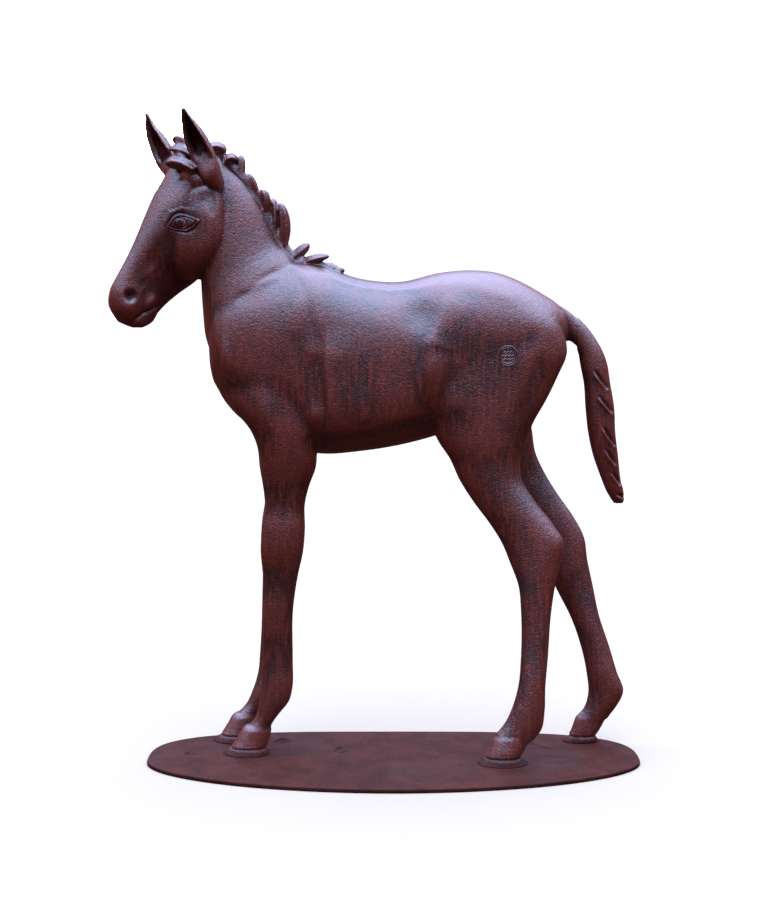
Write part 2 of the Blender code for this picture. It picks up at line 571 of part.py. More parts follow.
def make_foal():
    bm = bmesh.new()
    rib_tube(bm, TORSO, 60)
    rib_tube(bm, NECK, 40)
    rib_tube(bm, HEAD, 60, head_frame())
    post = Matrix.Translation((CHEEK_REAR, 0, 0))
    rib_tube(bm, CHEEK, 40, post @ Matrix.Rotation(math.radians(CHEEK_SWING), 4, "Z") @ post.inverted())
    for rows in (NEAR_FORE, shifted_leg(NEAR_FORE, FAR_FORE_HOOF_Y), NEAR_HIND, FAR_HIND, TAIL):
        rib_tube(bm, rows, 90)
    for rows in (NEAR_FORE_HOOF, shifted_leg(NEAR_FORE_HOOF, FAR_FORE_HOOF_Y), NEAR_HIND_HOOF, FAR_HIND_HOOF):
        rib_tube(bm, rows, 16)
    ear(bm, NEAR_EAR, NEAR_EAR_FACES, 30)
    ear(bm, FAR_EAR, FAR_EAR_FACES, 30)
    crest_bed(bm)
    for row in MANE + FORELOCK:
        lock(bm, row)
    foal = placed(bm, "foal")

    one_skin = foal.modifiers.new("one skin", "REMESH")
    one_skin.mode = "VOXEL"
    one_skin.voxel_size = WORK_CELL
    soft = foal.modifiers.new("soften", "SMOOTH")
    soft.factor = 0.5
    soft.iterations = 8
    settle(foal)

    level = PLATE_THICKNESS + SEAT_GAP
    at = points_of(foal)
    facing = np.empty(len(at) * 3)
    foal.data.vertex_normals.foreach_get("vector", facing)
    facing = facing.reshape(-1, 3)
    own = (at - (0, FOAL_OFFSET_Y, level)) / SHARE
    height = body_relief(own, facing) + head_relief(own, facing)
    foal.data.vertices.foreach_set("co", (at + facing * height[:, None] * SHARE).ravel())
    foal.data.update()
    cut_soles(foal, level)

    own = (points_of(foal) - (0, FOAL_OFFSET_Y, level)) / SHARE
    plain = (own[:, 0] + 0.9 * (820 - own[:, 2]).clip(0) > -240) & (own[:, 2] < 770)
    thinned = foal.vertex_groups.new(name="thinned")
    thinned.add(np.nonzero(~plain)[0].tolist(), 0.5, "REPLACE")
    thinned.add(np.nonzero(plain)[0].tolist(), 1.0, "REPLACE")
    thin = foal.modifiers.new("thin out", "DECIMATE")
    thin.ratio = FOAL_TRIANGLES / len(foal.data.polygons)
    thin.vertex_group = "thinned"
    thin.vertex_group_factor = 0.008
    thin.use_collapse_triangulate = True
    settle(foal)
    at = points_of(foal)
    at[at[:, 2] < level + 0.0006, 2] = level
    foal.data.vertices.foreach_set("co", at.ravel())
    foal.data.update()
    return foal


def outline(inset, count=PLATE_OUTLINE_POINTS):
    """The plate's outline, an oval that is squarer on the right side, drawn in by the inset."""
    c, s = circle(count)
    power = np.where(s > 0, PLATE_FAR_FULLNESS, PLATE_NEAR_FULLNESS)
    reach = np.where(s > 0, PLATE_FAR, PLATE_NEAR) - inset
    c = np.sign(c) * np.abs(c) ** 0.9
    x = (PLATE_LENGTH / 2 - inset) * c
    y = np.sign(s) * reach * (1 - np.abs(c) ** power).clip(0) ** (1 / power)
    return x, y


def hoof_print(bm, x, y, half_x, half_y, count=15):
    """A low rim round a hoof's print, open at the heel."""
    turn = np.linspace(math.radians(35), math.radians(325), count)
    centre = np.stack([x + half_x * np.cos(turn), y + half_y * np.sin(turn), np.full(count, PLATE_THICKNESS)], 1)
    out = np.stack([np.cos(turn), np.sin(turn), np.zeros(count)], 1)
    c, s = circle(5)
    size = PRINT_RIM * np.sin(np.linspace(0.35, math.pi - 0.35, count))[:, None]
    rings = centre[:, None] + out[:, None] * (size * 1.6 * c)[..., None]
    rings[..., 2] += size * s
    skin(bm, rings)


def grass_blade(bm, x1, y1, x2, y2, half, tall, count=6):
    """A low pointed leaf lying on the plate."""
    t = np.linspace(0.03, 0.97, count)[:, None]
    start, end = np.array((x1, y1)), np.array((x2, y2))
    way = (end - start) / np.linalg.norm(end - start)
    side = np.array((-way[1], way[0]))
    swell = np.sin(math.pi * t**0.8)
    centre = start * (1 - t) + end * t + side * 0.15 * half * np.sin(2 * math.pi * t)
    c, s = circle(6)
    rings = np.empty((count, 6, 3))
    rings[..., :2] = centre[:, None] + side * (half * swell * c)[..., None]
    rings[..., 2] = PLATE_THICKNESS - 0.0004 + tall * swell * s
    skin(bm, rings)


def make_plate():
    r = PLATE_EDGE_ROUND
    profile = [(0.0008, 0), (0, 0.0008), (0, PLATE_THICKNESS - r)]
    profile += [(r - r * math.cos(a), PLATE_THICKNESS - r + r * math.sin(a)) for a in (0.6, 1.1)]
    profile += [(r, PLATE_THICKNESS)]
    bm = bmesh.new()
    rings = [np.stack([*outline(inset), np.full(PLATE_OUTLINE_POINTS, z)], 1) for inset, z in profile]
    skin(bm, np.array(rings)[:, ::-1])
    bmesh.ops.recalc_face_normals(bm, faces=bm.faces)
    plate = as_object(bm, "base_plate")
    marks = []
    for row in HOOF_PRINTS:
        bm = bmesh.new()
        hoof_print(bm, *row)
        marks.append(bm)
    for row in GRASS_BLADES:
        bm = bmesh.new()
        grass_blade(bm, *row)
        marks.append(bm)
    for k, bm in enumerate(marks):
        bmesh.ops.recalc_face_normals(bm, faces=bm.faces)
        mark = as_object(bm, f"mark {k + 1}")
        join = plate.modifiers.new("mark", "BOOLEAN")
        join.operation = "UNION"
        join.solver = "EXACT"
        join.object = mark
        settle(plate)
        bpy.data.objects.remove(mark)
    return plate


def cast_iron(name, colour, roughness):
    material = bpy.data.materials.new(name)
    material.use_nodes = True
    surface = material.node_tree.nodes["Principled BSDF"]
    surface.inputs["Base Color"].default_value = (*colour, 1)
    surface.inputs["Metallic"].default_value = 0.35
    surface.inputs["Roughness"].default_value = roughness
    return material


def main():
    for obj in list(bpy.data.objects):
        bpy.data.objects.remove(obj)
    foal = make_foal()
    plate = make_plate()
    group = bpy.data.collections.new("cast iron foal")
    bpy.context.scene.collection.children.link(group)
    for obj, colour, roughness in ((foal, (0.075, 0.032, 0.028), 0.42), (plate, (0.09, 0.055, 0.055), 0.55)):
        for owner in list(obj.users_collection):
            owner.objects.unlink(obj)
        group.objects.link(obj)
        obj.data.materials.clear()
        obj.data.materials.append(cast_iron(obj.name + " cast iron", colour, roughness))


main()
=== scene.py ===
import math

import bmesh
import bpy
import numpy as np
from mathutils import Matrix, Vector


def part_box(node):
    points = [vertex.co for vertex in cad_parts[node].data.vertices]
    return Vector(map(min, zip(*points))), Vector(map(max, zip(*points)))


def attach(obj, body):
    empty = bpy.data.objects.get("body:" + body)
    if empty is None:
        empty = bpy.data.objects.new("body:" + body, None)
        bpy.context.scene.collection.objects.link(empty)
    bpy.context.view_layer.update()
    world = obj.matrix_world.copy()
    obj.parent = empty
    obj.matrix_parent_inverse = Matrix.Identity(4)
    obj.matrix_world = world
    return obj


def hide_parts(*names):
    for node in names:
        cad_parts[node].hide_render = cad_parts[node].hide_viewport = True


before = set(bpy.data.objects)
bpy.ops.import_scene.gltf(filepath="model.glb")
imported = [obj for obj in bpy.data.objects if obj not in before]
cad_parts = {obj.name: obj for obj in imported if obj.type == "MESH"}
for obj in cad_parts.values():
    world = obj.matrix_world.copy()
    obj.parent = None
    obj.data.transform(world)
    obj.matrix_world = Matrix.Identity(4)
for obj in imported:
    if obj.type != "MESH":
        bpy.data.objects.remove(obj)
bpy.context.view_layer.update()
print("frame loaded")

camera = {"x": -0.0245, "distance": 4.5, "height": 1.2, "pitch": 7.55, "lens": 92.5}


def makeCamera():
    data = bpy.data.cameras.new("camera")
    data.sensor_width = 36
    data.lens = camera["lens"]
    obj = bpy.data.objects.new("camera", data)
    obj.location = (camera["x"], -camera["distance"], camera["height"])
    obj.rotation_euler = (math.radians(90 - camera["pitch"]), 0, 0)
    bpy.context.scene.collection.objects.link(obj)
    bpy.context.scene.camera = obj


# The figure: its real height, where it stands, and how finely it is worked: rings in each tube, voxels,
# rounds of smoothing, and edges next to the finest carving. Its form below is written in thousandths of
# the height.
figure = {
    "height": 1.262,
    "offsetY": 0.105,
    "sole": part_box("foal")[0][2],
    "voxel": 0.0019,
    "smoothing": 10,
    "ringPoints": 72,
    "rings": {"torso": 90, "neck": 70, "head": 90, "cheek": 60, "limb": 140, "hoof": 40, "ear": 60},
    "triangles": 124000,
    "fineEdge": 0.0011,
    "fineRounds": 4,
    "hollowRounds": 24,
    "hollowDepth": 0.0015,
}
unit = figure["height"] / 1000

# A rib is the outline's upper or rear point x, z, its lower or front point x, z, then the middle's y, the
# half width, where the rib is widest from its second point (0) to its first (1), and how square it is.
ribs = {
    "torso": [
        (-286, 668, -287, 646, 0, 16, 0.5, 2.0),
        (-280, 702, -283, 605, 0, 46, 0.5, 2.1),
        (-266, 727, -269, 565, 0, 66, 0.5, 2.2),
        (-242, 746, -250, 537, 0, 78, 0.48, 2.3),
        (-208, 758, -213, 508, 0, 84, 0.48, 2.4),
        (-160, 767, -165, 480, 0, 87, 0.48, 2.4),
        (-114, 761, -114, 470, 0, 89, 0.47, 2.6),
        (-52, 741, -52, 474, 0, 92, 0.47, 2.7),
        (10, 736, 10, 484, 0, 93, 0.48, 2.7),
        (72, 750, 72, 500, 0, 89, 0.52, 2.5),
        (118, 754, 115, 515, 0, 87, 0.54, 2.4),
        (165, 749, 160, 540, 0, 86, 0.5, 2.4),
        (200, 735, 195, 555, 0, 82, 0.5, 2.4),
        (232, 717, 226, 575, 0, 71, 0.5, 2.3),
        (257, 701, 250, 600, 0, 50, 0.5, 2.0),
        (269, 686, 264, 626, 0, 28, 0.5, 2.0),
        (274, 664, 270, 640, 0, 8, 0.5, 2.0),
    ],
    "neck": [
        (-300, 943, -338, 880, -1, 28, 0.5, 2.0),
        (-276, 935, -318, 858, -1, 34, 0.52, 2.0),
        (-254, 915, -309, 832, 0, 36, 0.5, 2.0),
        (-230, 891, -305, 806, 0, 38, 0.48, 2.0),
        (-207, 860, -301, 779, 0, 42, 0.45, 2.0),
        (-190, 824, -298, 750, 0, 47, 0.42, 2.0),
        (-178, 798, -297, 722, 0, 53, 0.42, 2.0),
        (-163, 780, -295, 690, 0, 61, 0.42, 2.1),
        (-140, 755, -291, 650, 0, 70, 0.45, 2.1),
        (-100, 720, -270, 600, 0, 70, 0.45, 2.1),
    ],
    "head": [
        (-18, -22, -13, -44, 0, 12, 0.5, 2.0),
        (-8, -4, -3, -62, 0, 30, 0.55, 2.1),
        (18, 2, 16, -84, 0, 41, 0.66, 2.2),
        (48, 3, 44, -104, 0, 47, 0.68, 2.3),
        (78, 3, 74, -122, 0, 48, 0.68, 2.4),
        (106, 2, 102, -132, 0, 43, 0.66, 2.4),
        (134, 1, 130, -130, 0, 36, 0.62, 2.3),
        (160, 0, 156, -120, 0, 30, 0.58, 2.3),
        (186, 0, 182, -106, 0, 26, 0.55, 2.2),
        (210, 0, 206, -95, 0, 25, 0.54, 2.2),
        (230, -2, 226, -88, 0, 27, 0.52, 2.2),
        (246, -9, 243, -84, 0, 26, 0.5, 2.1),
        (258, -21, 255, -77, 0, 22, 0.5, 2.1),
        (267, -38, 264, -64, 0, 11, 0.5, 2.0),
    ],
    "cheek": [
        (-262, 893, -302, 893, -30, 8, 0.6, 2.0),
        (-252, 880, -328, 876, -33, 16, 0.68, 2.1),
        (-247, 858, -344, 850, -35, 20, 0.72, 2.1),
        (-246, 835, -350, 825, -36, 22, 0.74, 2.1),
        (-247, 812, -350, 800, -36, 22, 0.74, 2.1),
        (-253, 790, -346, 780, -35, 21, 0.74, 2.1),
        (-263, 770, -342, 762, -31, 19, 0.72, 2.1),
        (-279, 754, -336, 748, -25, 15, 0.68, 2.0),
        (-297, 740, -330, 741, -18, 9, 0.6, 2.0),
    ],
    "nearFore": [
        (-160, 720, -195, 712, -40, 12, 0.5, 2.0),
        (-135, 672, -226, 664, -44, 30, 0.52, 2.0),
        (-116, 620, -250, 612, -45, 37, 0.52, 2.0),
        (-110, 575, -259, 568, -46, 38, 0.52, 2.1),
        (-111, 540, -244, 540, -47, 38, 0.5, 2.2),
        (-113, 515, -223, 515, -48, 37, 0.5, 2.1),
        (-117, 489, -211, 489, -49, 34, 0.5, 2.1),
        (-120, 452, -206, 452, -49, 30, 0.5, 2.1),
        (-129, 428, -202, 428, -48, 27, 0.5, 2.1),
        (-137, 396, -199, 396, -47, 24, 0.5, 2.2),
        (-137, 358, -204, 358, -47, 27, 0.5, 2.4),
        (-140, 322, -206, 322, -47, 26, 0.5, 2.4),
        (-148, 285, -203, 285, -46, 20, 0.5, 2.2),
        (-156, 230, -203, 230, -46, 18, 0.5, 2.1),
        (-157, 150, -204, 150, -42, 18, 0.5, 2.1),
        (-158, 104, -206, 104, -41, 21, 0.5, 2.2),
        (-164, 82, -211, 77, -40, 21, 0.5, 2.2),
        (-179, 63, -216, 58, -40, 18, 0.5, 2.1),
        (-190, 47, -225, 46, -39, 18, 0.5, 2.1),
        (-195, 34, -236, 36, -39, 21, 0.5, 2.1),
    ],
    "nearForeHoof": [
        (-193, 44, -232, 44, -39, 17, 0.5, 2.2),
        (-192, 33, -240, 33, -39, 21, 0.5, 2.3),
        (-195, 20, -248, 20, -39, 23, 0.5, 2.3),
        (-199, 8, -256, 8, -39, 25, 0.5, 2.3),
        (-198, 5, -258, 5, -39, 25, 0.5, 2.3),
        (-195, 2, -264, 2, -39, 30, 0.5, 2.3),
        (-193, -2, -268, -2, -39, 33, 0.5, 2.3),
        (-193, -12, -268, -12, -39, 33, 0.5, 2.3),
    ],
    "nearHind": [
        (200, 722, 130, 726, -38, 14, 0.5, 2.0),
        (240, 690, 92, 696, -40, 30, 0.5, 2.2),
        (260, 660, 62, 664, -42, 38, 0.5, 2.6),
        (266, 630, 48, 630, -44, 42, 0.45, 2.8),
        (253, 597, 45, 597, -46, 42, 0.42, 2.8),
        (235, 559, 48, 559, -49, 41, 0.42, 2.6),
        (214, 521, 57, 521, -52, 39, 0.5, 2.2),
        (204, 493, 69, 493, -55, 36, 0.5, 2.1),
        (196, 470, 85, 470, -57, 32, 0.5, 2.1),
        (197, 438, 100, 438, -60, 28, 0.5, 2.1),
        (218, 403, 122, 403, -64, 25, 0.5, 2.1),
        (246, 367, 149, 367, -68, 23, 0.5, 2.2),
        (262, 340, 167, 338, -71, 22, 0.5, 2.3),
        (257, 311, 179, 309, -74, 21, 0.5, 2.3),
        (249, 274, 192, 274, -78, 19, 0.5, 2.2),
        (243, 234, 196, 234, -82, 17, 0.5, 2.1),
        (238, 163, 196, 163, -89, 17, 0.5, 2.1),
        (234, 116, 192, 118, -94, 19, 0.5, 2.2),
        (233, 79, 182, 83, -97, 20, 0.5, 2.2),
        (228, 51, 171, 61, -99, 19, 0.5, 2.1),
        (212, 33, 158, 45, -100, 18, 0.5, 2.1),
    ],
    "nearHindHoof": [
        (213, 44, 164, 49, -100, 16, 0.5, 2.2),
        (207, 29, 153, 35, -100, 21, 0.5, 2.3),
        (201, 18, 147, 22, -100, 24, 0.5, 2.3),
        (197, 9, 141, 9, -100, 25, 0.5, 2.3),
        (198, 5, 140, 5, -100, 25, 0.5, 2.3),
        (204, 2, 133, 2, -101, 31, 0.5, 2.3),
        (208, -2, 128, -2, -102, 35, 0.5, 2.3),
        (208, -12, 128, -12, -102, 35, 0.5, 2.3),
    ],
    "farHind": [
        (200, 722, 130, 726, 38, 14, 0.5, 2.0),
        (240, 690, 92, 696, 42, 32, 0.5, 2.2),
        (262, 660, 62, 664, 45, 42, 0.5, 2.3),
        (268, 630, 50, 630, 48, 47, 0.5, 2.3),
        (252, 597, 50, 597, 49, 46, 0.5, 2.3),
        (233, 559, 60, 559, 50, 44, 0.5, 2.2),
        (218, 521, 78, 521, 51, 40, 0.5, 2.2),
        (221, 493, 96, 493, 52, 36, 0.5, 2.1),
        (225, 465, 118, 465, 53, 32, 0.5, 2.1),
        (238, 435, 137, 435, 55, 28, 0.5, 2.1),
        (261, 397, 164, 397, 54, 25, 0.5, 2.1),
        (287, 360, 194, 360, 53, 23, 0.5, 2.2),
        (304, 327, 219, 324, 52, 22, 0.5, 2.3),
        (309, 293, 240, 287, 50, 21, 0.5, 2.3),
        (318, 251, 261, 243, 47, 18, 0.5, 2.2),
        (328, 204, 283, 200, 43, 17, 0.5, 2.1),
        (345, 153, 301, 148, 40, 17, 0.5, 2.1),
        (358, 110, 309, 110, 38, 19, 0.5, 2.2),
        (368, 81, 312, 79, 37, 18, 0.5, 2.2),
        (356, 55, 305, 53, 36, 17, 0.5, 2.1),
        (342, 37, 293, 39, 36, 16, 0.5, 2.1),
    ],
    "farHindHoof": [
        (342, 45, 299, 46, 36, 14, 0.5, 2.2),
        (336, 29, 290, 32, 36, 17, 0.5, 2.3),
        (330, 18, 286, 20, 36, 18, 0.5, 2.3),
        (325, 9, 281, 9, 36, 18, 0.5, 2.3),
        (325, 5, 280, 5, 36, 18, 0.5, 2.3),
        (328, 2, 274, 2, 36, 20, 0.5, 2.3),
        (331, -2, 270, -2, 36, 21, 0.5, 2.3),
        (331, -12, 270, -12, 36, 21, 0.5, 2.3),
    ],
    "tail": [
        (236, 706, 236, 660, 0, 18, 0.5, 2.0),
        (262, 699, 254, 660, 0, 15, 0.5, 2.0),
        (285, 682, 268, 642, 0, 13, 0.5, 2.0),
        (304, 662, 280, 634, 0, 13, 0.5, 2.0),
        (320, 638, 286, 628, 0, 15, 0.5, 2.1),
        (331, 613, 290, 608, 0, 17, 0.5, 2.1),
        (337, 580, 296, 578, 0, 18, 0.5, 2.1),
        (344, 540, 299, 540, 0, 19, 0.5, 2.1),
        (346, 503, 303, 505, 0, 19, 0.5, 2.1),
        (351, 464, 311, 468, 0, 17, 0.5, 2.1),
        (355, 430, 323, 434, 0, 14, 0.5, 2.0),
        (361, 402, 336, 404, 0, 10, 0.5, 2.0),
        (360, 390, 345, 390, 0, 5, 0.5, 2.0),
    ],
}
# The left cheek's ribs are swung about an upright line through its rear edge.
cheekSwing = {"rear": -256, "degrees": -18}

# The head's own axes run from the poll: degrees of nose down from level, turn and tilt to the left.
headSet = {"pitch": 62, "yaw": 32, "roll": 10, "poll": (-324, -2, 925)}

# The far foreleg is the near one, stepped forward: height, then how far.
farForeStep = {"steps": [(0, -21), (50, -22), (95, -12), (170, -7), (350, -4), (700, 0)], "hoofOut": 5}

# An ear is the middle of its rim from root to tip, x, y, z, the half width, the depth of its back, and how
# much of that depth is hollow. Then the way the hollow faces.
ears = {
    "near": {"faces": (-0.55, -0.82, 0.12), "rows": [
        (-266, -34, 866, 4, 4, -1.0),
        (-271, -36, 886, 11, 11, -1.0),
        (-279, -39, 905, 16, 19, -0.8),
        (-290, -43, 925, 19, 25, 0.1),
        (-299, -46, 943, 19, 27, 0.76),
        (-306, -48, 959, 17, 25, 0.8),
        (-312, -50, 976, 12, 17, 0.72),
        (-317, -51, 991, 7, 9, 0.3),
        (-319, -52, 1002, 3, 4, -0.8),
    ]},
    "far": {"faces": (-0.84, -0.54, 0.12), "rows": [
        (-326, 30, 886, 8, 8, -1.0),
        (-335, 34, 900, 14, 14, -1.0),
        (-347, 38, 913, 19, 18, -0.6),
        (-358, 41, 926, 22, 20, 0.3),
        (-367, 43, 941, 21, 21, 0.72),
        (-374, 45, 956, 18, 18, 0.76),
        (-380, 47, 971, 13, 12, 0.66),
        (-383, 48, 985, 8, 7, 0.3),
        (-384, 49, 995, 3, 4, -0.8),
    ]},
    "lip": 0.74,
}

# A lock of hair is its root, bend and tip, x, y, z each, its half width in profile and from side to side.
# The crest is the ridge x, z that the mane grows from.
hair = {
    "mane": [
        (-290, 0, 925, -276, 3, 952, -257, 2, 934, 10, 11),
        (-264, 0, 908, -253, -4, 934, -240, -4, 922, 8.5, 10),
        (-240, 0, 890, -232, 4, 914, -236, 3, 932, 7.5, 10),
        (-210, 0, 858, -212, -2, 886, -223, -2, 903, 5.5, 8),
        (-200, 0, 838, -193, -3, 866, -204, -3, 879, 7.5, 10),
        (-187, 0, 800, -180, 3, 840, -187, 3, 865, 8, 10),
        (-173, 0, 782, -161, -3, 824, -175, -1, 858, 8, 10),
        (-162, 0, 766, -146, 2, 782, -130, 2, 795, 8, 10),
        (-150, 0, 760, -126, -4, 774, -99, -4, 776, 6.5, 10),
        (-122, 0, 756, -104, 3, 762, -88, 3, 759, 5.5, 9),
        (-98, 0, 750, -86, -2, 757, -75, -2, 753, 4.5, 8),
    ],
    "forelock": [
        (-304, -8, 914, -320, -8, 940, -336, -5, 932, 13, 17),
        (-318, -8, 936, -328, -4, 962, -338, 0, 950, 8, 9),
        (-304, -24, 928, -326, -12, 946, -345, 3, 939, 6, 10),
        (-302, -34, 908, -330, -22, 926, -348, -2, 917, 10, 12),
    ],
    "crest": [
        (-300, 932), (-272, 925), (-248, 908), (-226, 884), (-208, 856),
        (-192, 820), (-178, 795), (-160, 773), (-130, 762), (-95, 753),
    ],
    "crestHalf": 11,
    "crestShare": 0.8,
    "crestRings": 80,
    "crestPoints": 24,
    "lockRings": 36,
    "lockPoints": 48,
    "strandDepth": 0.16,
    "maneStrands": 5,
    "forelockStrands": 4,
}


def readRows(rows, count):
    # A cubic Hermite curve through the rows, read at even lengths along the line of their middles.
    rows = np.array(rows, float)
    middle = (rows[:, 0:2] + rows[:, 2:4]) / 2 if rows.shape[1] == 8 else rows[:, :3]
    at = np.concatenate([[0.0], np.cumsum(np.linalg.norm(np.diff(middle, axis=0), axis=1))])
    slope = np.gradient(rows, at, axis=0)
    where = np.linspace(0, at[-1], count)
    i = np.clip(np.searchsorted(at, where, side="right") - 1, 0, len(at) - 2)
    span = (at[i + 1] - at[i])[:, None]
    t = (where - at[i])[:, None] / span
    return (
        rows[i] * (2 * t**3 - 3 * t**2 + 1)
        + slope[i] * span * (t**3 - 2 * t**2 + t)
        + rows[i + 1] * (3 * t**2 - 2 * t**3)
        + slope[i + 1] * span * (t**3 - t**2)
    )


def circle(points):
    turn = np.linspace(0, 2 * math.pi, points, endpoint=False)
    return np.cos(turn), np.sin(turn)


def ribTube(rows, count, place=None):
    # Ring i, point k: the rib's widest place, plus half width * cos(k) in y, plus the reach to the rib's end
    # * sin(k) along the rib, with both cos and sin raised to 2 / squareness.
    table = readRows(rows, count)
    first, second, y = table[:, 0:2], table[:, 2:4], table[:, 4]
    half, widest, square = table[:, 5:6], table[:, 6:7], table[:, 7:8]
    middle = second + (first - second) * widest
    c, s = circle(figure["ringPoints"])
    c = np.sign(c) * np.abs(c) ** (2 / square)
    s = np.sign(s) * np.abs(s) ** (2 / square)
    reach = np.where(s[..., None] > 0, (first - middle)[:, None], (middle - second)[:, None]) * s[..., None]
    rings = np.empty((count, figure["ringPoints"], 3))
    rings[..., 0] = middle[:, :1] + reach[..., 0]
    rings[..., 1] = y[:, None] + half * c
    rings[..., 2] = middle[:, 1:] + reach[..., 1]
    if place is not None:
        rings = rings @ np.array(place.to_3x3()).T + np.array(place.translation)
    return rings


def steppedLeg(rows):
    # The near foreleg's ribs on the far side, moved forward by a curve of their height.
    rows = np.array(rows, float)
    height = (rows[:, 1] + rows[:, 3]) / 2
    step = np.interp(height, *zip(*farForeStep["steps"]))
    rows[:, 0] += step
    rows[:, 2] += step
    rows[:, 4] = -rows[:, 4] + farForeStep["hoofOut"] * np.clip(1 - height / 500, 0, 1)
    return rows


def headFrame():
    pitch, yaw, roll = (math.radians(headSet[k]) for k in ("pitch", "yaw", "roll"))
    along = Vector((-math.cos(pitch), 0, -math.sin(pitch)))
    out = Vector((-math.sin(pitch), 0, math.cos(pitch)))
    turn = Matrix.Rotation(yaw, 3, "Z") @ Matrix.Rotation(roll, 3, "X")
    axes = Matrix([turn @ along, turn @ out.cross(along), turn @ out]).transposed()
    return Matrix.Translation(headSet["poll"]) @ axes.to_4x4()


def toHead(at):
    # The same points on the head's own axes, and the way across the head.
    place = headFrame().inverted()
    turn = np.array(place.to_3x3())
    return at @ turn.T + np.array(place.translation), turn[1]


def unitRows(vectors):
    return vectors / np.linalg.norm(vectors, axis=-1, keepdims=True)


def earLeaf(ear):
    # Ring i: the rim's middle, plus half width * cos across it, less the back's depth * sin where sin is
    # positive, and plus the hollow's depth * sin where it is negative. The hollow is narrower by the lip.
    table = readRows(ear["rows"], figure["rings"]["ear"])
    centre, half, back, hollow = table[:, :3], table[:, 3:4], table[:, 4:5], table[:, 5:6]
    along = unitRows(np.gradient(centre, axis=0))
    across = unitRows(np.cross(along, ear["faces"]))
    front = np.cross(across, along)
    c, s = circle(figure["ringPoints"])
    c = np.where((s < 0) & (hollow > 0), c * ears["lip"], c)
    depth = np.where(s > 0, s * back, -s * back * hollow)
    return centre[:, None] + across[:, None] * (half * c)[..., None] - front[:, None] * depth[..., None]


def hairLock(row, strands):
    # A quadratic curve root, bend, tip carries a ring. Its radius rises to 1 and ends as sqrt(1 - t^3) would.
    # Strands pinch the ring by a cosine of their number times the angle, and wind a little along the lock.
    root, bend, tip = (np.array(row[i:i + 3], float) for i in (0, 3, 6))
    t = np.linspace(0, 1, hair["lockRings"])[:, None]
    centre = root * (1 - t) ** 2 + 2 * bend * t * (1 - t) + tip * t**2
    along = unitRows(np.gradient(centre, axis=0))
    side = unitRows(np.cross(along, (0.0, 1.0, 0.0)))
    flat = np.cross(side, along)
    thick = np.sqrt((1 - ((t - 0.4).clip(0) / 0.6) ** 3).clip(0.03)) * (0.7 + 0.3 * (t / 0.4).clip(0, 1))
    c, s = circle(hair["lockPoints"])
    turn = np.arctan2(s, c)
    pinch = 1 + hair["strandDepth"] * np.cos(strands * turn + 1.2 * t + row[0])
    rings = centre[:, None] + side[:, None] * (row[9] * thick * pinch * c)[..., None]
    return rings + flat[:, None] * (row[10] * thick * pinch * s)[..., None]


def crestBed():
    # A tube along the crest, its rings slanted: cos moves a point in x and z alike, sin in y.
    centre = readRows([(x, 0, z) for x, z in hair["crest"]], hair["crestRings"])
    c, s = circle(hair["crestPoints"])
    return centre[:, None] + np.stack([c, s, c], 1)[None] * hair["crestHalf"] * hair["crestShare"]


def meshOfTubes(name, tubes):
    # Every tube is rings by points by 3. Quads join each ring to the next, and a cap closes either end.
    points, faces, start = [], [], 0
    for rings in tubes:
        n, m = rings.shape[:2]
        index = np.arange(n * m).reshape(n, m) + start
        back = np.roll(index, 1, axis=1)
        quads = np.stack([index[:-1], back[:-1], back[1:], index[1:]], 2).reshape(-1, 4)
        points.append(rings.reshape(-1, 3))
        faces += quads.tolist() + [index[0].tolist(), index[-1, ::-1].tolist()]
        start += n * m
    mesh = bpy.data.meshes.new(name)
    mesh.from_pydata(np.concatenate(points).tolist(), [], faces)
    obj = bpy.data.objects.new(name, mesh)
    bpy.context.scene.collection.objects.link(obj)
    return obj


def settle(obj):
    # Turns the object's modifiers into its own mesh.
    graph = bpy.context.evaluated_depsgraph_get()
    mesh = bpy.data.meshes.new_from_object(obj.evaluated_get(graph))
    obj.modifiers.clear()
    obj.data = mesh


def vertexRows(obj, field="co"):
    rows = np.empty(len(obj.data.vertices) * 3)
    if field == "co":
        obj.data.vertices.foreach_get("co", rows)
    else:
        obj.data.vertex_normals.foreach_get("vector", rows)
    return rows.reshape(-1, 3)


def setVertices(obj, at):
    obj.data.vertices.foreach_set("co", at.ravel())
    obj.data.update()


def figureRows(obj):
    # Where each vertex is, in thousandths of the figure.
    return (vertexRows(obj) - (0, figure["offsetY"], figure["sole"])) / unit


def carve(obj, facing, height):
    # Moves each vertex out along its normal by its height in thousandths of the figure.
    setVertices(obj, vertexRows(obj) + facing * height[:, None] * unit)


def rise(low, high, value):
    t = np.clip((value - low) / (high - low), 0, 1)
    return t * t * (3 - 2 * t)


def bell(distance, width):
    return np.exp(-((distance / width) ** 2))


def toWay(flat, way):
    # Distance from each flat point to the way, with a sign: above 0 on the left of the way's direction.
    # Also how far along the way the nearest place is, from 0 to 1.
    way = np.array(way, float)
    best = np.full(len(flat), 1e9)
    sign = np.ones(len(flat))
    along = np.zeros(len(flat))
    pieces = np.linalg.norm(np.diff(way, axis=0), axis=1)
    done = 0
    for a, b, length in zip(way, way[1:], pieces):
        step = (b - a) / length
        t = np.clip((flat - a) @ step, 0, length)
        off = flat - a - t[:, None] * step
        distance = np.linalg.norm(off, axis=1)
        nearer = distance < best
        best = np.where(nearer, distance, best)
        sign = np.where(nearer, np.sign(step[0] * off[:, 1] - step[1] * off[:, 0]), sign)
        along = np.where(nearer, (done + t) / pieces.sum(), along)
        done += length
    return best * sign, along


def furrow(flat, way, width, deep):
    # A groove along the way, fading at both ends.
    distance, along = toWay(flat, way)
    return -deep * bell(distance, width) * rise(0, 0.25, along) * rise(0, 0.25, 1 - along)


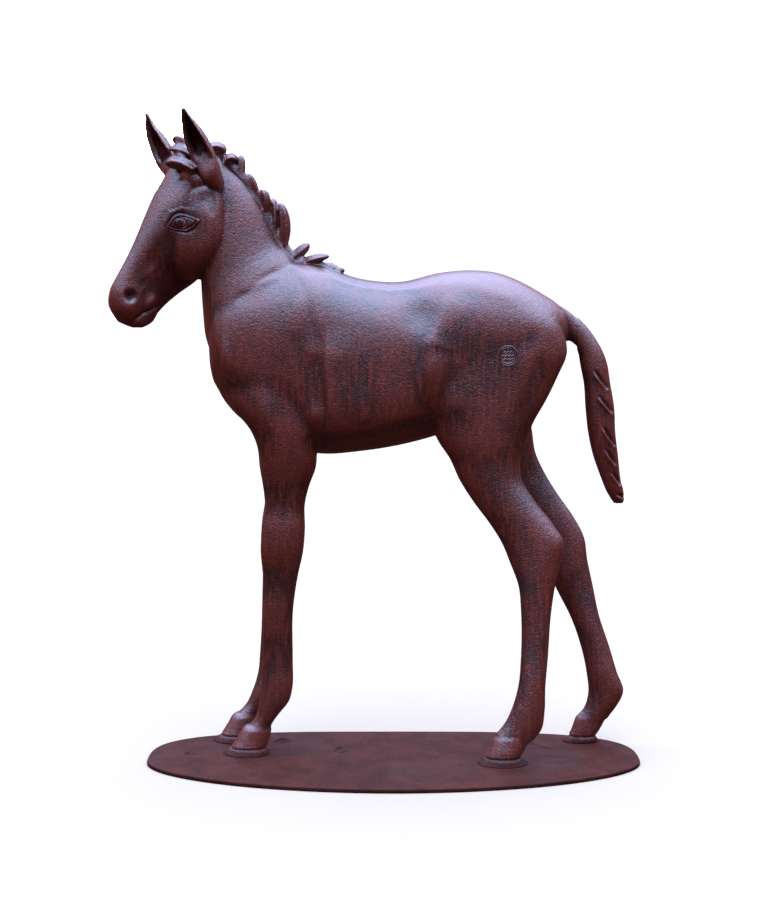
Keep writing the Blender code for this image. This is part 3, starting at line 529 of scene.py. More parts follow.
def ledge(flat, way, edge, tall, reach):
    # Raised on the left of the way: it climbs over the edge's width and sinks away over the reach.
    distance, along = toWay(flat, way)
    side = rise(-edge, edge, distance) * bell(distance.clip(0), reach)
    return tall * side * rise(0, 0.3, along) * rise(0, 0.3, 1 - along)


# Muscles and creases of the body in profile. A swelling is its middle x, y, z, its reach along x, y, z, its
# lean (degrees) and its height. A furrow or ledge is its way x, z, then widths and heights.
muscles = {
    "swellings": [
        (-138, 84, 706, 18, 34, 46, -14, 3),
        (-120, 84, 636, 16, 24, 14, 0, 2),
        (-118, 80, 536, 13, 26, 18, 0, 5),
        (-197, 88, 548, 11, 30, 34, 6, 3),
        (-255, 64, 625, 9, 26, 28, 6, 5),
        (-270, 34, 600, 20, 20, 32, 0, 2),
        (-284, 0, 590, 20, 9, 40, 0, -3),
        (-10, 92, 590, 80, 34, 74, 0, 3),
        (40, 84, 694, 26, 34, 30, 12, -7),
        (60, 90, 600, 14, 40, 50, 0, 4),
        (236, 70, 676, 26, 30, 24, 0, 5),
        (262, 0, 640, 30, 14, 50, 0, -7),
        (-182, 70, 470, 20, 24, 50, 0, 3),
    ],
    "furrows": [
        ([(-140, 776), (-174, 758), (-205, 740), (-250, 704)], 6, 2.0),
        ([(-165, 750), (-189, 744), (-211, 735), (-237, 719)], 6, -1.5),
        ([(-156, 676), (-142, 632), (-135, 592), (-132, 552)], 9, 1.0),
        ([(-165, 766), (-116, 757), (-88, 744), (-52, 731), (-6, 725), (40, 730), (80, 742)], 4.5, -2.4),
        ([(50, 738), (84, 734), (116, 733), (152, 724), (200, 708)], 10, -1.6),
        ([(226, 640), (220, 600), (206, 560), (190, 524)], 12, 2.0),
    ],
    "ledges": [
        ([(-160, 775), (-146, 752), (-134, 738), (-127, 720), (-122, 690), (-119, 640)], 8, 2.5, 30),
        ([(-102, 680), (-107, 610), (-103, 570), (-100, 530), (-106, 488)], 5, 6, 36),
        ([(84, 742), (76, 712), (69, 690), (59, 668), (48, 648), (46, 626)], 8, 3.0, 34),
        ([(56, 664), (48, 610), (52, 570), (66, 516)], 10, 4.5, 42),
        ([(-150, 502), (-105, 508), (-67, 511), (-21, 518), (10, 527), (80, 548)], 9, 6, 46),
    ],
}


def bodyRelief(at, facing):
    height = np.zeros(len(at))
    for x, y, z, rx, ry, rz, lean, tall in muscles["swellings"]:
        a = math.radians(lean)
        dx = (at[:, 0] - x) * math.cos(a) + (at[:, 2] - z) * math.sin(a)
        dz = (at[:, 2] - z) * math.cos(a) - (at[:, 0] - x) * math.sin(a)
        dy = np.abs(at[:, 1]) - y
        height += tall * np.exp(-((dx / rx) ** 2) - (dy / ry) ** 2 - (dz / rz) ** 2)
    flat = at[:, [0, 2]]
    sides = rise(0.1, 0.5, np.abs(facing[:, 1])) * rise(30, 55, np.abs(at[:, 1]))
    for way, width, deep in muscles["furrows"]:
        height += furrow(flat, way, width, deep) * sides
    for way, edge, tall, reach in muscles["ledges"]:
        height += ledge(flat, way, edge, tall, reach) * sides
    return height * behindHead(at) * (at[:, 0] < 285)


# The tail's cuts, each with a lip below it: ways x, z, widths and depths. They lie behind and under the given
# x and z.
tailCuts = {
    "ways": [
        [(309, 604), (331, 573)],
        [(316, 565), (339, 536)],
        [(322, 519), (344, 484)],
        [(329, 480), (346, 454)],
        [(340, 444), (354, 422)],
        [(349, 408), (358, 400)],
    ],
    "width": 2.4,
    "depth": 3.6,
    "lip": 2.4,
    "lipWidth": 2.2,
    "lipBelow": 4.2,
    "behind": 292,
    "under": 640,
}


def tailRelief(at):
    flat = at[:, [0, 2]]
    height = np.zeros(len(at))
    for way in tailCuts["ways"]:
        distance, along = toWay(flat, way)
        ends = rise(0, 0.5, along) * rise(-0.2, 0.3, 1 - along)
        height -= tailCuts["depth"] * bell(distance, tailCuts["width"]) * ends
        height += tailCuts["lip"] * bell(distance + tailCuts["lipBelow"], tailCuts["lipWidth"]) * ends
    return height * (at[:, 0] > tailCuts["behind"]) * (at[:, 2] < tailCuts["under"])


# The head's carving in its own plane: along the head, out of the face. Alike on both sides. A swelling is
# its middle, its reach each way and its height. The eye's lean is in degrees, its other sizes as above.
face = {
    "swellings": [
        (223, -22, 7.5, 7.5, -15),
        (223, -22, 13, 12, 4),
        (245, -26, 10, 14, 3),
        (214, -57, 11, 8, 5),
        (252, -66, 9, 8, 3),
        (240, -80, 12, 8, 3),
        (40, -30, 15, 10, -3),
        (88, -78, 34, 30, 2),
        (150, -24, 40, 10, -2),
        (178, -34, 12, 7, 2.5),
        (20, -14, 12, 12, 2.5),
    ],
    "furrows": [
        ([(270, -45), (252, -48), (237, -55), (225, -67), (208, -80)], 3.4, 3.6),
        ([(210, -30), (192, -31), (180, -35), (160, -44)], 5, 1.6),
        ([(149, -44), (160, -62), (170, -92)], 6, 1.8),
        ([(62, -46), (50, -44), (34, -38), (24, -26)], 5, 1.6),
    ],
    "ledges": [
        ([(116, -16), (98, -6), (82, -5), (68, -14), (58, -34)], 3, 1.4, 8),
    ],
    "eye": {
        "middle": (88, -26),
        "half": (17.5, 10),
        "lean": 38,
        "ball": 5.0,
        "lidCurve": 1.7,
        "iris": 7.6,
        "socket": 3.0,
        "socketReach": 20,
        "fineReach": 25,
    },
}


def headRelief(at, facing):
    own, across = toHead(at)
    flat = own[:, [0, 2]]
    sides = rise(0.15, 0.6, np.abs(facing @ across))
    onHead = rise(0, 20, own[:, 0]) * rise(-135, -120, own[:, 2]) * (own[:, 2] < 30)
    height = np.zeros(len(at))
    for along, out, ra, ro, tall in face["swellings"]:
        height += tall * np.exp(-(((own[:, 0] - along) / ra) ** 2) - ((own[:, 2] - out) / ro) ** 2)
    for way, width, deep in face["furrows"]:
        height += furrow(flat, way, width, deep)
    for way, edge, tall, reach in face["ledges"]:
        height += ledge(flat, way, edge, tall, reach)
    eye = face["eye"]
    height -= eye["socket"] * bell(np.linalg.norm(flat - eye["middle"], axis=1), eye["socketReach"])
    return height * sides * onHead


def eyeRelief(at, facing):
    # u runs along the eye, v across it. The lids meet where |v| is the half height * (1 - |u|^lidCurve). The
    # ball is a dome with a round iris cut in it, the lids are thin rims round it, with a fold beyond them.
    own, across = toHead(at)
    eye = face["eye"]
    a = math.radians(eye["lean"])
    du = own[:, 0] - eye["middle"][0]
    dv = own[:, 2] - eye["middle"][1]
    u = (du * math.cos(a) + dv * math.sin(a)) / eye["half"][0]
    v = dv * math.cos(a) - du * math.sin(a)
    lid = np.abs(v) - eye["half"][1] * (1 - np.abs(u) ** eye["lidCurve"]).clip(-1)
    inside = rise(0.7, -0.7, lid)
    ball = eye["ball"] * np.sqrt((1 - u**2 - (v / eye["half"][1] / 1.15) ** 2).clip(0)) - 1.0
    r = np.hypot(u * eye["half"][0] - 1.0, v)
    iris = -1.5 * bell(r - eye["iris"], 0.8) + 0.5 * rise(eye["iris"], 3, r)
    near = bell((np.abs(u) - 1.0).clip(0), 0.16)
    rim = 2.2 * bell(lid - 1.8, 1.2) - 2.4 * bell(lid + 0.3, 0.8)
    rim -= (1.6 * (v > 0) + 1.3 * (v < 0)) * bell(lid - 4.8, 1.3)
    onHead = (own[:, 0] > 0) * (np.hypot(du, dv) < 40)
    return (inside * (ball + iris) + rim * near) * onHead * rise(0.15, 0.6, np.abs(facing @ across))


# The round mark on the left haunch: a plain double ring with short strokes in it that spell nothing. A row
# is its height above the middle and its count of strokes.
stamp = {
    "middle": (173, 629),
    "ring": 14.6,
    "inner": 11.8,
    "ringTall": 0.9,
    "innerTall": 0.5,
    "rows": [(5.6, 3), (0, 4), (-5.6, 3)],
    "pitch": 4.9,
    "stroke": (1.5, 1.0),
    "strokeTall": 0.7,
    "strokeWidth": 0.75,
    "reach": 20,
    "fineReach": 18,
}


def stampRelief(at):
    flat = at[:, [0, 2]] - stamp["middle"]
    r = np.linalg.norm(flat, axis=1)
    ring, inner = stamp["ring"], stamp["inner"]
    height = stamp["ringTall"] * (bell(r - ring, 0.7) - bell(r - (ring + inner) / 2, 0.9))
    height += stamp["innerTall"] * (bell(r - inner, 0.6) - rise(inner, inner - 1.5, r))
    for level, count in stamp["rows"]:
        for k in range(count):
            middle = np.array(((k - (count - 1) / 2) * stamp["pitch"], level))
            distance, along = toWay(flat, [middle - stamp["stroke"], middle + stamp["stroke"]])
            height += stamp["strokeTall"] * bell(distance, stamp["strokeWidth"])
    return height * (at[:, 1] < 0) * (r < stamp["reach"])


def softNoise(at, scale, seed):
    # A sum of sines of rotated coordinates, smooth and without repeats at this size.
    total = np.zeros(len(at))
    turn = np.random.default_rng(seed)
    for k in range(6):
        way = unitRows(turn.normal(size=3))
        total += np.sin(at @ way * (1.3**k) / scale + turn.uniform(0, 6.28))
    return total / 6


# The hooves: heights of the band and of the line at the foot, and how uneven the bead of weld below it is.
hooves = {"top": (62, 46), "band": 38, "bandTall": 0.8, "line": 9.5, "lineDepth": 1.6, "bead": 1.2, "wave": 4.5}


def hoofRelief(at):
    # A soft band round the top of each hoof, a fine line at its foot and an uneven bead of weld below that.
    level = at[:, 2]
    bead = rise(hooves["line"], 5, level) * (hooves["bead"] * softNoise(at, hooves["wave"], 4) + 0.6)
    line = -hooves["lineDepth"] * bell(level - hooves["line"], 1.5)
    wall = 0.15 * np.sin(level * 1.1) * rise(10, 13, level) * rise(32, 26, level)
    band = hooves["bandTall"] * bell(level - hooves["band"], 4)
    return (bead + line + wall + band) * rise(*hooves["top"], level)


def refine(obj, near, longest):
    # Halves the edges that are too long and have an end where near is true.
    bm = bmesh.new()
    bm.from_mesh(obj.data)
    bm.edges.ensure_lookup_table()
    ends = np.array([(e.verts[0].index, e.verts[1].index) for e in bm.edges])
    at = vertexRows(obj)
    length = np.linalg.norm(at[ends[:, 0]] - at[ends[:, 1]], axis=1)
    chosen = np.nonzero((near[ends[:, 0]] | near[ends[:, 1]]) & (length > longest))[0]
    picked = [bm.edges[i] for i in chosen.tolist()]
    bmesh.ops.subdivide_edges(bm, edges=picked, cuts=1, use_grid_fill=True)
    bmesh.ops.triangulate(bm, faces=[f for f in bm.faces if len(f.verts) > 3])
    bm.to_mesh(obj.data)
    bm.free()


def cutSoles(obj, level):
    bm = bmesh.new()
    bm.from_mesh(obj.data)
    everything = bm.verts[:] + bm.edges[:] + bm.faces[:]
    bmesh.ops.bisect_plane(bm, geom=everything, plane_co=(0, 0, level), plane_no=(0, 0, -1), clear_outer=True)
    bmesh.ops.holes_fill(bm, edges=[e for e in bm.edges if e.is_boundary])
    bmesh.ops.triangulate(bm, faces=[f for f in bm.faces if len(f.verts) > 4])
    bm.to_mesh(obj.data)
    bm.free()


def neighbourMean(values, ends, count):
    total = np.zeros_like(values)
    for a, b in ((0, 1), (1, 0)):
        for k in range(values.shape[1]):
            total[:, k] += np.bincount(ends[:, a], weights=values[ends[:, b], k], minlength=len(values))
    return total / count[:, None]


def markHollows(obj):
    # How far the smoothed surface lies outside each point, as a share of the hollow depth: above 0 in hollows.
    at = vertexRows(obj)
    facing = vertexRows(obj, "normal")
    ends = np.empty(len(obj.data.edges) * 2, int)
    obj.data.edges.foreach_get("vertices", ends)
    ends = ends.reshape(-1, 2)
    count = np.bincount(ends.ravel(), minlength=len(at)).clip(1)
    smooth = at.copy()
    for _ in range(figure["hollowRounds"]):
        smooth = smooth * 0.4 + neighbourMean(smooth, ends, count) * 0.6
    depth = ((smooth - at) * facing).sum(1)
    layer = obj.data.attributes.new("hollow", "FLOAT", "POINT")
    layer.data.foreach_set("value", (depth / figure["hollowDepth"]).clip(-1, 1).astype(np.float32))


def behindHead(at):
    # From 0 on the head to 1 behind a line that leans down and forward from the poll.
    return rise(-262, -240, at[:, 0] + 0.9 * (820 - at[:, 2]).clip(0))


# Where the body's parts are smoothed into each other, from none to full.
blend = {
    "aboveLegs": (440, 500),
    "belowMane": (790, 745),
    "beforeTail": (280, 250),
    "fromMiddle": (18, 40),
    "behindChest": (-320, -300),
    "chestStep": 30,
    "chestTop": 700,
    "factor": 0.6,
    "rounds": 90,
    "steps": 10,
}


def blendBody(foal):
    own = figureRows(foal)
    x, y, z = own.T
    share = behindHead(own) * rise(*blend["aboveLegs"], z) * rise(*blend["belowMane"], z)
    share *= rise(*blend["beforeTail"], x) * rise(*blend["fromMiddle"], np.abs(y))
    share *= rise(*blend["behindChest"], x + (z < blend["chestTop"]) * blend["chestStep"])
    group = foal.vertex_groups.new(name="body")
    for step in range(1, blend["steps"] + 1):
        chosen = np.nonzero(np.ceil(share * blend["steps"]) == step)[0]
        group.add(chosen.tolist(), step / blend["steps"], "REPLACE")
    merge = foal.modifiers.new("merge", "SMOOTH")
    merge.factor = blend["factor"]
    merge.iterations = blend["rounds"]
    merge.vertex_group = "body"
    settle(foal)


def makeFoal():
    rings = figure["rings"]
    tubes = [
        ribTube(ribs["torso"], rings["torso"]),
        ribTube(ribs["neck"], rings["neck"]),
        ribTube(ribs["head"], rings["head"], headFrame()),
    ]
    limbs = [ribs["nearFore"], steppedLeg(ribs["nearFore"]), ribs["nearHind"], ribs["farHind"], ribs["tail"]]
    tubes += [ribTube(rows, rings["limb"]) for rows in limbs]
    feet = [ribs["nearForeHoof"], steppedLeg(ribs["nearForeHoof"]), ribs["nearHindHoof"], ribs["farHindHoof"]]
    tubes += [ribTube(rows, rings["hoof"]) for rows in feet]
    post = Matrix.Translation((cheekSwing["rear"], 0, 0))
    swing = Matrix.Rotation(math.radians(cheekSwing["degrees"]), 4, "Z")
    tubes.append(ribTube(ribs["cheek"], rings["cheek"], post @ swing @ post.inverted()))
    tubes += [earLeaf(ears["near"]), earLeaf(ears["far"]), crestBed()]
    tubes += [hairLock(row, hair["maneStrands"]) for row in hair["mane"]]
    tubes += [hairLock(row, hair["forelockStrands"]) for row in hair["forelock"]]
    foal = meshOfTubes("foalCasting", tubes)
    setVertices(foal, vertexRows(foal) * unit + (0, figure["offsetY"], figure["sole"]))

    oneSkin = foal.modifiers.new("one skin", "REMESH")
    oneSkin.mode = "VOXEL"
    oneSkin.voxel_size = figure["voxel"]
    soften = foal.modifiers.new("soften", "SMOOTH")
    soften.factor = 0.5
    soften.iterations = figure["smoothing"]
    settle(foal)
    blendBody(foal)
    print("one skin", len(foal.data.polygons))

    facing = vertexRows(foal, "normal")
    own = figureRows(foal)
    carve(foal, facing, bodyRelief(own, facing) + tailRelief(own) + headRelief(own, facing) + hoofRelief(own))
    cutSoles(foal, figure["sole"])
    print("carved")

    thin = foal.modifiers.new("thin out", "DECIMATE")
    faces = sum(len(p.vertices) - 2 for p in foal.data.polygons)
    thin.ratio = min(1.0, figure["triangles"] / faces)
    thin.use_collapse_triangulate = True
    settle(foal)
    # The eyes and the round mark are worked last, on skin that is divided finer there.
    for _ in range(figure["fineRounds"]):
        own = figureRows(foal)
        inHead = toHead(own)[0]
        eyeWay = np.linalg.norm(inHead[:, [0, 2]] - face["eye"]["middle"], axis=1)
        markWay = np.linalg.norm(own[:, [0, 2]] - stamp["middle"], axis=1)
        fine = (eyeWay < face["eye"]["fineReach"]) & (inHead[:, 0] > 0) & (inHead[:, 2] > -70)
        fine |= (markWay < stamp["fineReach"]) & (own[:, 1] < 0)
        refine(foal, fine, figure["fineEdge"])
    own = figureRows(foal)
    facing = vertexRows(foal, "normal")
    carve(foal, facing, eyeRelief(own, facing) + stampRelief(own))
    foal.data.name = foal.name
    foal.data.polygons.foreach_set("use_smooth", [True] * len(foal.data.polygons))
    markHollows(foal)
    print("foal", len(foal.data.polygons), "triangles")
    return foal


# The plate in metres: an oval, squarer on the right side, with a rounded upper edge and marks cast on its
# top. A hoof print is its middle x, y and reach x, y. A blade of grass is its two ends, half width and height.
plate = {
    "length": 0.966,
    "near": 0.216,
    "far": 0.227,
    "nearFullness": 1.9,
    "farFullness": 3.3,
    "thickness": 0.008,
    "edgeRound": 0.0022,
    "grid": (436, 186),
    "rimTall": 0.0019,
    "rimWidth": 0.0026,
    "printDepth": 0.0006,
    "prints": [
        (0.044, 0.021, 0.034, 0.028),
        (0.138, 0.032, 0.033, 0.030),
        (0.088, 0.165, 0.029, 0.022),
        (0.152, 0.168, 0.030, 0.024),
        (0.312, 0.002, 0.031, 0.026),
    ],
    "blades": [
        (-0.243, 0.136, -0.206, 0.168, 0.004, 0.005),
        (-0.232, 0.128, -0.196, 0.150, 0.004, 0.004),
        (-0.118, 0.058, -0.098, 0.108, 0.006, 0.005),
        (-0.108, 0.052, -0.082, 0.066, 0.005, 0.004),
        (-0.414, 0.036, -0.400, 0.052, 0.006, 0.005),
        (-0.404, 0.044, -0.388, 0.040, 0.004, 0.004),
        (0.258, 0.138, 0.300, 0.108, 0.007, 0.004),
        (0.290, 0.112, 0.326, 0.072, 0.005, 0.003),
    ],
}


def plateEdge(share):
    # The reach in y on either side, from the superellipse of that side, at a share of the half length.
    share = np.abs(share).clip(0, 1)
    near = plate["near"] * (1 - share ** plate["nearFullness"]) ** (1 / plate["nearFullness"])
    far = plate["far"] * (1 - share ** plate["farFullness"]) ** (1 / plate["farFullness"])
    return near, far


def plateHeight(x, y):
    # Rims of hoof prints, open to the front, and blades as half ellipses that swell and thin along their way.
    height = np.zeros(x.shape)
    for cx, cy, rx, ry in plate["prints"]:
        r = np.hypot((x - cx) / rx, (y - cy) / ry)
        turn = np.arctan2((y - cy) / ry, (x - cx) / rx)
        wall = rise(0.45, 0.75, np.abs(turn))
        height += plate["rimTall"] * bell((r - 1) * rx, plate["rimWidth"]) * wall
        height -= plate["printDepth"] * rise(1.0, 0.8, r)
    for x1, y1, x2, y2, half, tall in plate["blades"]:
        way = np.array((x2 - x1, y2 - y1))
        length = np.linalg.norm(way)
        way /= length
        t = ((x - x1) * way[0] + (y - y1) * way[1]) / length
        d = (x - x1) * -way[1] + (y - y1) * way[0]
        swell = np.sin(math.pi * t.clip(0, 1) ** 0.8)
        bow = np.sqrt((1 - (d / (half * swell + 1e-6)) ** 2).clip(0))
        height = np.maximum(height, tall * swell * bow)
    return height


def makePlate():
    # A square grid is bent to a disc by u * sqrt(1 - v^2 / 2), v * sqrt(1 - u^2 / 2), and the disc is drawn
    # out to the plate's outline. Rings of the outline carry the rounded edge down to the underside.
    nu, nv = plate["grid"]
    u, v = np.meshgrid(np.linspace(-1, 1, nu), np.linspace(-1, 1, nv), indexing="ij")
    dx = u * np.sqrt(1 - v**2 / 2)
    dy = v * np.sqrt(1 - u**2 / 2)
    top = plate["edgeRound"]
    inner = plate["length"] / 2 - top
    x = dx * inner
    near, far = plateEdge(dx)
    chord = np.sqrt((1 - dx**2).clip(1e-9))
    y = np.where(dy < 0, dy / chord * (near - top).clip(0), dy / chord * (far - top).clip(0))
    z = plate["thickness"] + plateHeight(x, y)
    index = np.arange(nu * nv).reshape(nu, nv)
    quads = np.stack([index[:-1, :-1], index[1:, :-1], index[1:, 1:], index[:-1, 1:]], 2).reshape(-1, 4)
    rim = np.concatenate([index[:-1, 0], index[-1, :-1], index[:0:-1, -1], index[0, :0:-1]])
    edge = np.stack([x.ravel()[rim], y.ravel()[rim]], 1)
    middle = np.array((0.0, (plate["far"] - plate["near"]) / 2))
    away = unitRows((edge - middle) * (1.0, 2.6))
    r, t = plate["edgeRound"], plate["thickness"]
    turns = np.radians([25, 50, 75, 90])
    profile = [(r * math.sin(a), t - r + r * math.cos(a)) for a in turns] + [(r, 0.001), (r - 0.0008, 0.0)]
    points = [np.stack([x.ravel(), y.ravel(), z.ravel()], 1)]
    faces = quads.tolist()
    last, start = rim, nu * nv
    for out, level in profile:
        points.append(np.concatenate([edge + away * out, np.full((len(rim), 1), level)], 1))
        ring = np.arange(len(rim)) + start
        faces += np.stack([last, ring, np.roll(ring, -1), np.roll(last, -1)], 1).tolist()
        last, start = ring, start + len(rim)
    faces.append(last[::-1].tolist())
    mesh = bpy.data.meshes.new("plateCasting")
    mesh.from_pydata(np.concatenate(points).tolist(), [], faces)
    obj = bpy.data.objects.new("plateCasting", mesh)
    bpy.context.scene.collection.objects.link(obj)
    bm = bmesh.new()
    bm.from_mesh(mesh)
    bmesh.ops.recalc_face_normals(bm, faces=bm.faces)
    bm.to_mesh(mesh)
    bm.free()
    mesh.polygons.foreach_set("use_smooth", [True] * len(mesh.polygons))
    print("plate", len(mesh.polygons), "faces")
    return obj


class Wire:
    # One output of a shader tree. Its operators add Math nodes, and node() adds a node of any other kind.
    def __init__(self, tree, socket=None):
        self.tree = tree
        self.socket = socket

    def node(self, kind, settings=None, values=None, output=0):
        made = self.tree.nodes.new("ShaderNode" + kind)
        for name, value in (settings or {}).items():
            setattr(made, name, value)
        for name, value in (values or {}).items():
            if isinstance(value, Wire):
                self.tree.links.new(value.socket, made.inputs[name])
            else:
                made.inputs[name].default_value = value
        return Wire(self.tree, made.outputs[output])

    def math(self, operation, *values):
        return self.node("Math", {"operation": operation}, dict(enumerate((self, *values))))

    def __add__(self, other):
        return self.math("ADD", other)

    def __radd__(self, other):
        return self + other

    def __sub__(self, other):
        return self.math("SUBTRACT", other)

    def __rsub__(self, other):
        return self * -1.0 + other

    def __mul__(self, other):
        return self.math("MULTIPLY", other)

    def __rmul__(self, other):
        return self * other

    def rise(self, low, high):
        # 0 up to low, 1 from high on, and smooth between.
        ends = {0: self, 1: low, 2: high, 3: 0.0, 4: 1.0}
        return self.node("MapRange", {"interpolation_type": "SMOOTHSTEP"}, ends)

    def mix(self, first, second):
        # A colour between two colours, with this value as the share of the second.
        return self.node("Mix", {"data_type": "RGBA"}, {0: self, 6: first, 7: second}, 2)


def colour(red, green, blue):
    return (red, green, blue, 1.0)


def newFinish(name):
    material = bpy.data.materials.new(name)
    material.use_nodes = True
    tree = material.node_tree
    surface = tree.nodes["Principled BSDF"]
    return material, Wire(tree), surface


def grain(wire, place, scale, detail=4.0, rough=0.6, stretch=(1, 1, 1)):
    moved = wire.node("Mapping", None, {"Vector": place, "Scale": tuple(scale * s for s in stretch)})
    return wire.node("TexNoise", None, {"Vector": moved, "Scale": 1.0, "Detail": detail, "Roughness": rough})


# The foal's iron: brown-red with upright streaks and grey patches, with painted shade that darkens its hollows,
# the ears' hollows most, and welded feet that are darker towards the plate.
# Scales are of the noise, and heights are in metres.
iron = {
    "deep": colour(0.020, 0.0042, 0.0028),
    "brown": colour(0.082, 0.0135, 0.0072),
    "rust": colour(0.160, 0.0260, 0.0125),
    "grey": colour(0.024, 0.0170, 0.0150),
    "foot": colour(0.040, 0.0140, 0.0100),
    "streaks": (170, 170, 22),
    "clouds": 9.0,
    "flecks": 330.0,
    "patches": (22, 22, 16),
    "pits": 120.0,
    "footTop": (0.024, 0.013),
    "earFoot": (1.10, 1.14),
    "dullMetal": 0.95,
    "dullRough": 0.4,
    "dullCoat": 0.85,
    "coat": 0.30,
    "coatRough": 0.25,
    "ior": 1.75,
    "bump": 0.8,
    "bumpDepth": 0.0014,
}


def foalFinish():
    material, wire, surface = newFinish("foal iron")
    place = wire.node("TexCoord", None, None, "Object")
    height = wire.node("SeparateXYZ", None, {"Vector": place}, "Z")
    hollow = wire.node("Attribute", {"attribute_name": "hollow"}, None, "Fac")
    streak = grain(wire, place, 1.0, 5.0, 0.65, iron["streaks"])
    cloud = grain(wire, place, iron["clouds"], 3.0)
    fleck = grain(wire, place, iron["flecks"], 2.0)
    patch = grain(wire, place, 1.0, 5.0, 0.6, iron["patches"])
    wear = streak * 0.6 + cloud * 0.4
    base = wear.rise(0.36, 0.62).mix(iron["deep"], iron["brown"])
    base = (streak.rise(0.50, 0.68) * 0.8).mix(base, iron["rust"])
    base = (patch.rise(0.55, 0.66) * 0.6).mix(base, iron["grey"])
    # Painted shade: the hollows are mixed towards the deep colour.
    base = (hollow.rise(0.25, 0.9) * 0.5).mix(base, iron["deep"])
    base = (hollow.rise(-0.25, -0.9) * 0.4).mix(base, iron["rust"])
    foot = height.rise(*iron["footTop"])
    base = (foot * 0.8).mix(base, iron["foot"])
    wire.tree.links.new(base.socket, surface.inputs["Base Color"])
    # Ear hollows and feet are made rough, metallic and less coated. With the dark base colour their reflection
    # dims, which is painted shade in the ear hollows.
    dull = (hollow.rise(0.40, 0.95) * height.rise(*iron["earFoot"])).math("MAXIMUM", foot)
    rough = 0.22 + fleck * 0.18 + cloud * 0.10 + dull * iron["dullRough"]
    wire.tree.links.new(rough.socket, surface.inputs["Roughness"])
    pits = fleck + grain(wire, place, iron["pits"]) * 0.8 + streak * 0.5
    bump = wire.node("Bump", None, {"Height": pits, "Strength": iron["bump"], "Distance": iron["bumpDepth"]})
    wire.tree.links.new(bump.socket, surface.inputs["Normal"])
    metal = dull * iron["dullMetal"]
    wire.tree.links.new(metal.socket, surface.inputs["Metallic"])
    coat = iron["coat"] * (1 - dull * iron["dullCoat"])
    wire.tree.links.new(coat.socket, surface.inputs["Coat Weight"])
    surface.inputs["Coat Roughness"].default_value = iron["coatRough"]
    surface.inputs["IOR"].default_value = iron["ior"]
    return material


# The plate's iron: duller, clouded brown, with painted shade darkening the raised blades of grass. Scales and
# heights as above.
plateIron = {
    "deep": colour(0.014, 0.0050, 0.0042),
    "brown": colour(0.042, 0.0120, 0.0080),
    "rust": colour(0.066, 0.0185, 0.0118),
    "pale": colour(0.046, 0.024, 0.020),
    "clouds": 14.0,
    "fine": 160.0,
    "patches": 5.0,
    "bladeShade": (0.0100, 0.0125),
    "rough": 0.50,
    "roughSpread": 0.2,
    "specular": 0.04,
    "bump": 0.4,
    "bumpDepth": 0.0015,
}


def plateFinish():
    material, wire, surface = newFinish("plate iron")
    place = wire.node("TexCoord", None, None, "Object")
    height = wire.node("SeparateXYZ", None, {"Vector": place}, "Z")
    cloud = grain(wire, place, plateIron["clouds"], 5.0)
    fine = grain(wire, place, plateIron["fine"], 5.0, 0.7)
    patch = grain(wire, place, plateIron["patches"])
    base = cloud.rise(0.35, 0.65).mix(plateIron["brown"], plateIron["rust"])
    base = (patch.rise(0.5, 0.68) * 0.5).mix(base, plateIron["pale"])
    base = (fine.rise(0.5, 0.7) * 0.5).mix(base, plateIron["deep"])
    # Painted shade: above their foot the blades of grass are mixed towards the deep colour.
    base = (height.rise(*plateIron["bladeShade"]) * 0.8).mix(base, plateIron["deep"])
    wire.tree.links.new(base.socket, surface.inputs["Base Color"])
    rough = plateIron["rough"] + fine * plateIron["roughSpread"]
    wire.tree.links.new(rough.socket, surface.inputs["Roughness"])
    pits = {"Height": fine + cloud * 0.6, "Strength": plateIron["bump"], "Distance": plateIron["bumpDepth"]}
    wire.tree.links.new(wire.node("Bump", None, pits).socket, surface.inputs["Normal"])
    surface.inputs["Specular IOR Level"].default_value = plateIron["specular"]
    return material


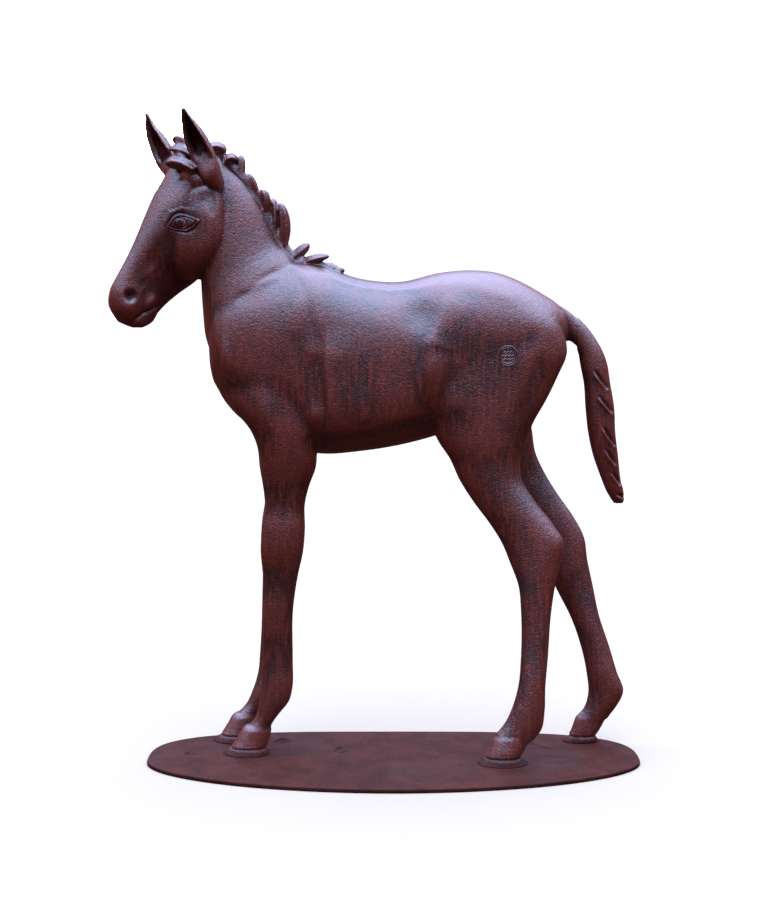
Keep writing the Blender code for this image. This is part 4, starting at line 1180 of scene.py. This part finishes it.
# Soft light from a pale sky: its colour high up, level and below, and how much brighter it is behind the
# foal. The floor is as pale as the photo's ground and takes no part in lighting the iron.
studio = {
    "skyUp": colour(0.57, 0.70, 1.12),
    "skyLevel": colour(0.034, 0.010, 0.008),
    "skyDown": colour(0.012, 0.004, 0.003),
    "skyStrength": 7.0,
    "skyRise": (0.30, 0.95),
    "skyFall": (0.0, -0.35),
    "backLift": 0.10,
    "floorReach": 60,
    "floor": colour(0.43, 0.358, 0.245),
}


def makeStudio():
    mesh = bpy.data.meshes.new("floor")
    r = studio["floorReach"]
    mesh.from_pydata([(-r, -r, 0), (r, -r, 0), (r, r, 0), (-r, r, 0)], [], [(0, 1, 2, 3)])
    floor = bpy.data.objects.new("floor", mesh)
    bpy.context.scene.collection.objects.link(floor)
    floor.visible_diffuse = False
    floor.visible_glossy = False
    material, wire, surface = newFinish("floor")
    surface.inputs["Base Color"].default_value = studio["floor"]
    surface.inputs["Roughness"].default_value = 1.0
    surface.inputs["Specular IOR Level"].default_value = 0.0
    mesh.materials.append(material)

    world = bpy.data.worlds.new("studio")
    bpy.context.scene.world = world
    world.use_nodes = True
    wire = Wire(world.node_tree)
    background = world.node_tree.nodes["Background"]
    facing = wire.node("TexCoord", None, None, "Generated")
    up = wire.node("SeparateXYZ", None, {"Vector": facing}, "Z")
    behind = wire.node("SeparateXYZ", None, {"Vector": facing}, "Y").math("MAXIMUM", 0.0)
    lift = (up + behind * studio["backLift"]).rise(*studio["skyRise"])
    sky = lift.mix(studio["skyLevel"], studio["skyUp"])
    sky = up.rise(*studio["skyFall"]).mix(sky, studio["skyDown"])
    seen = wire.node("LightPath", None, None, "Is Camera Ray")
    world.node_tree.links.new(seen.mix(sky, colour(1, 1, 1)).socket, background.inputs["Color"])
    background.inputs["Strength"].default_value = studio["skyStrength"]
    bpy.context.scene.view_settings.view_transform = "Standard"


makeCamera()
foal = makeFoal()
foal.data.materials.append(foalFinish())
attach(foal, "root")
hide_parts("foal")
base = makePlate()
base.data.materials.append(plateFinish())
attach(base, "root")
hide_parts("base_plate")
makeStudio()
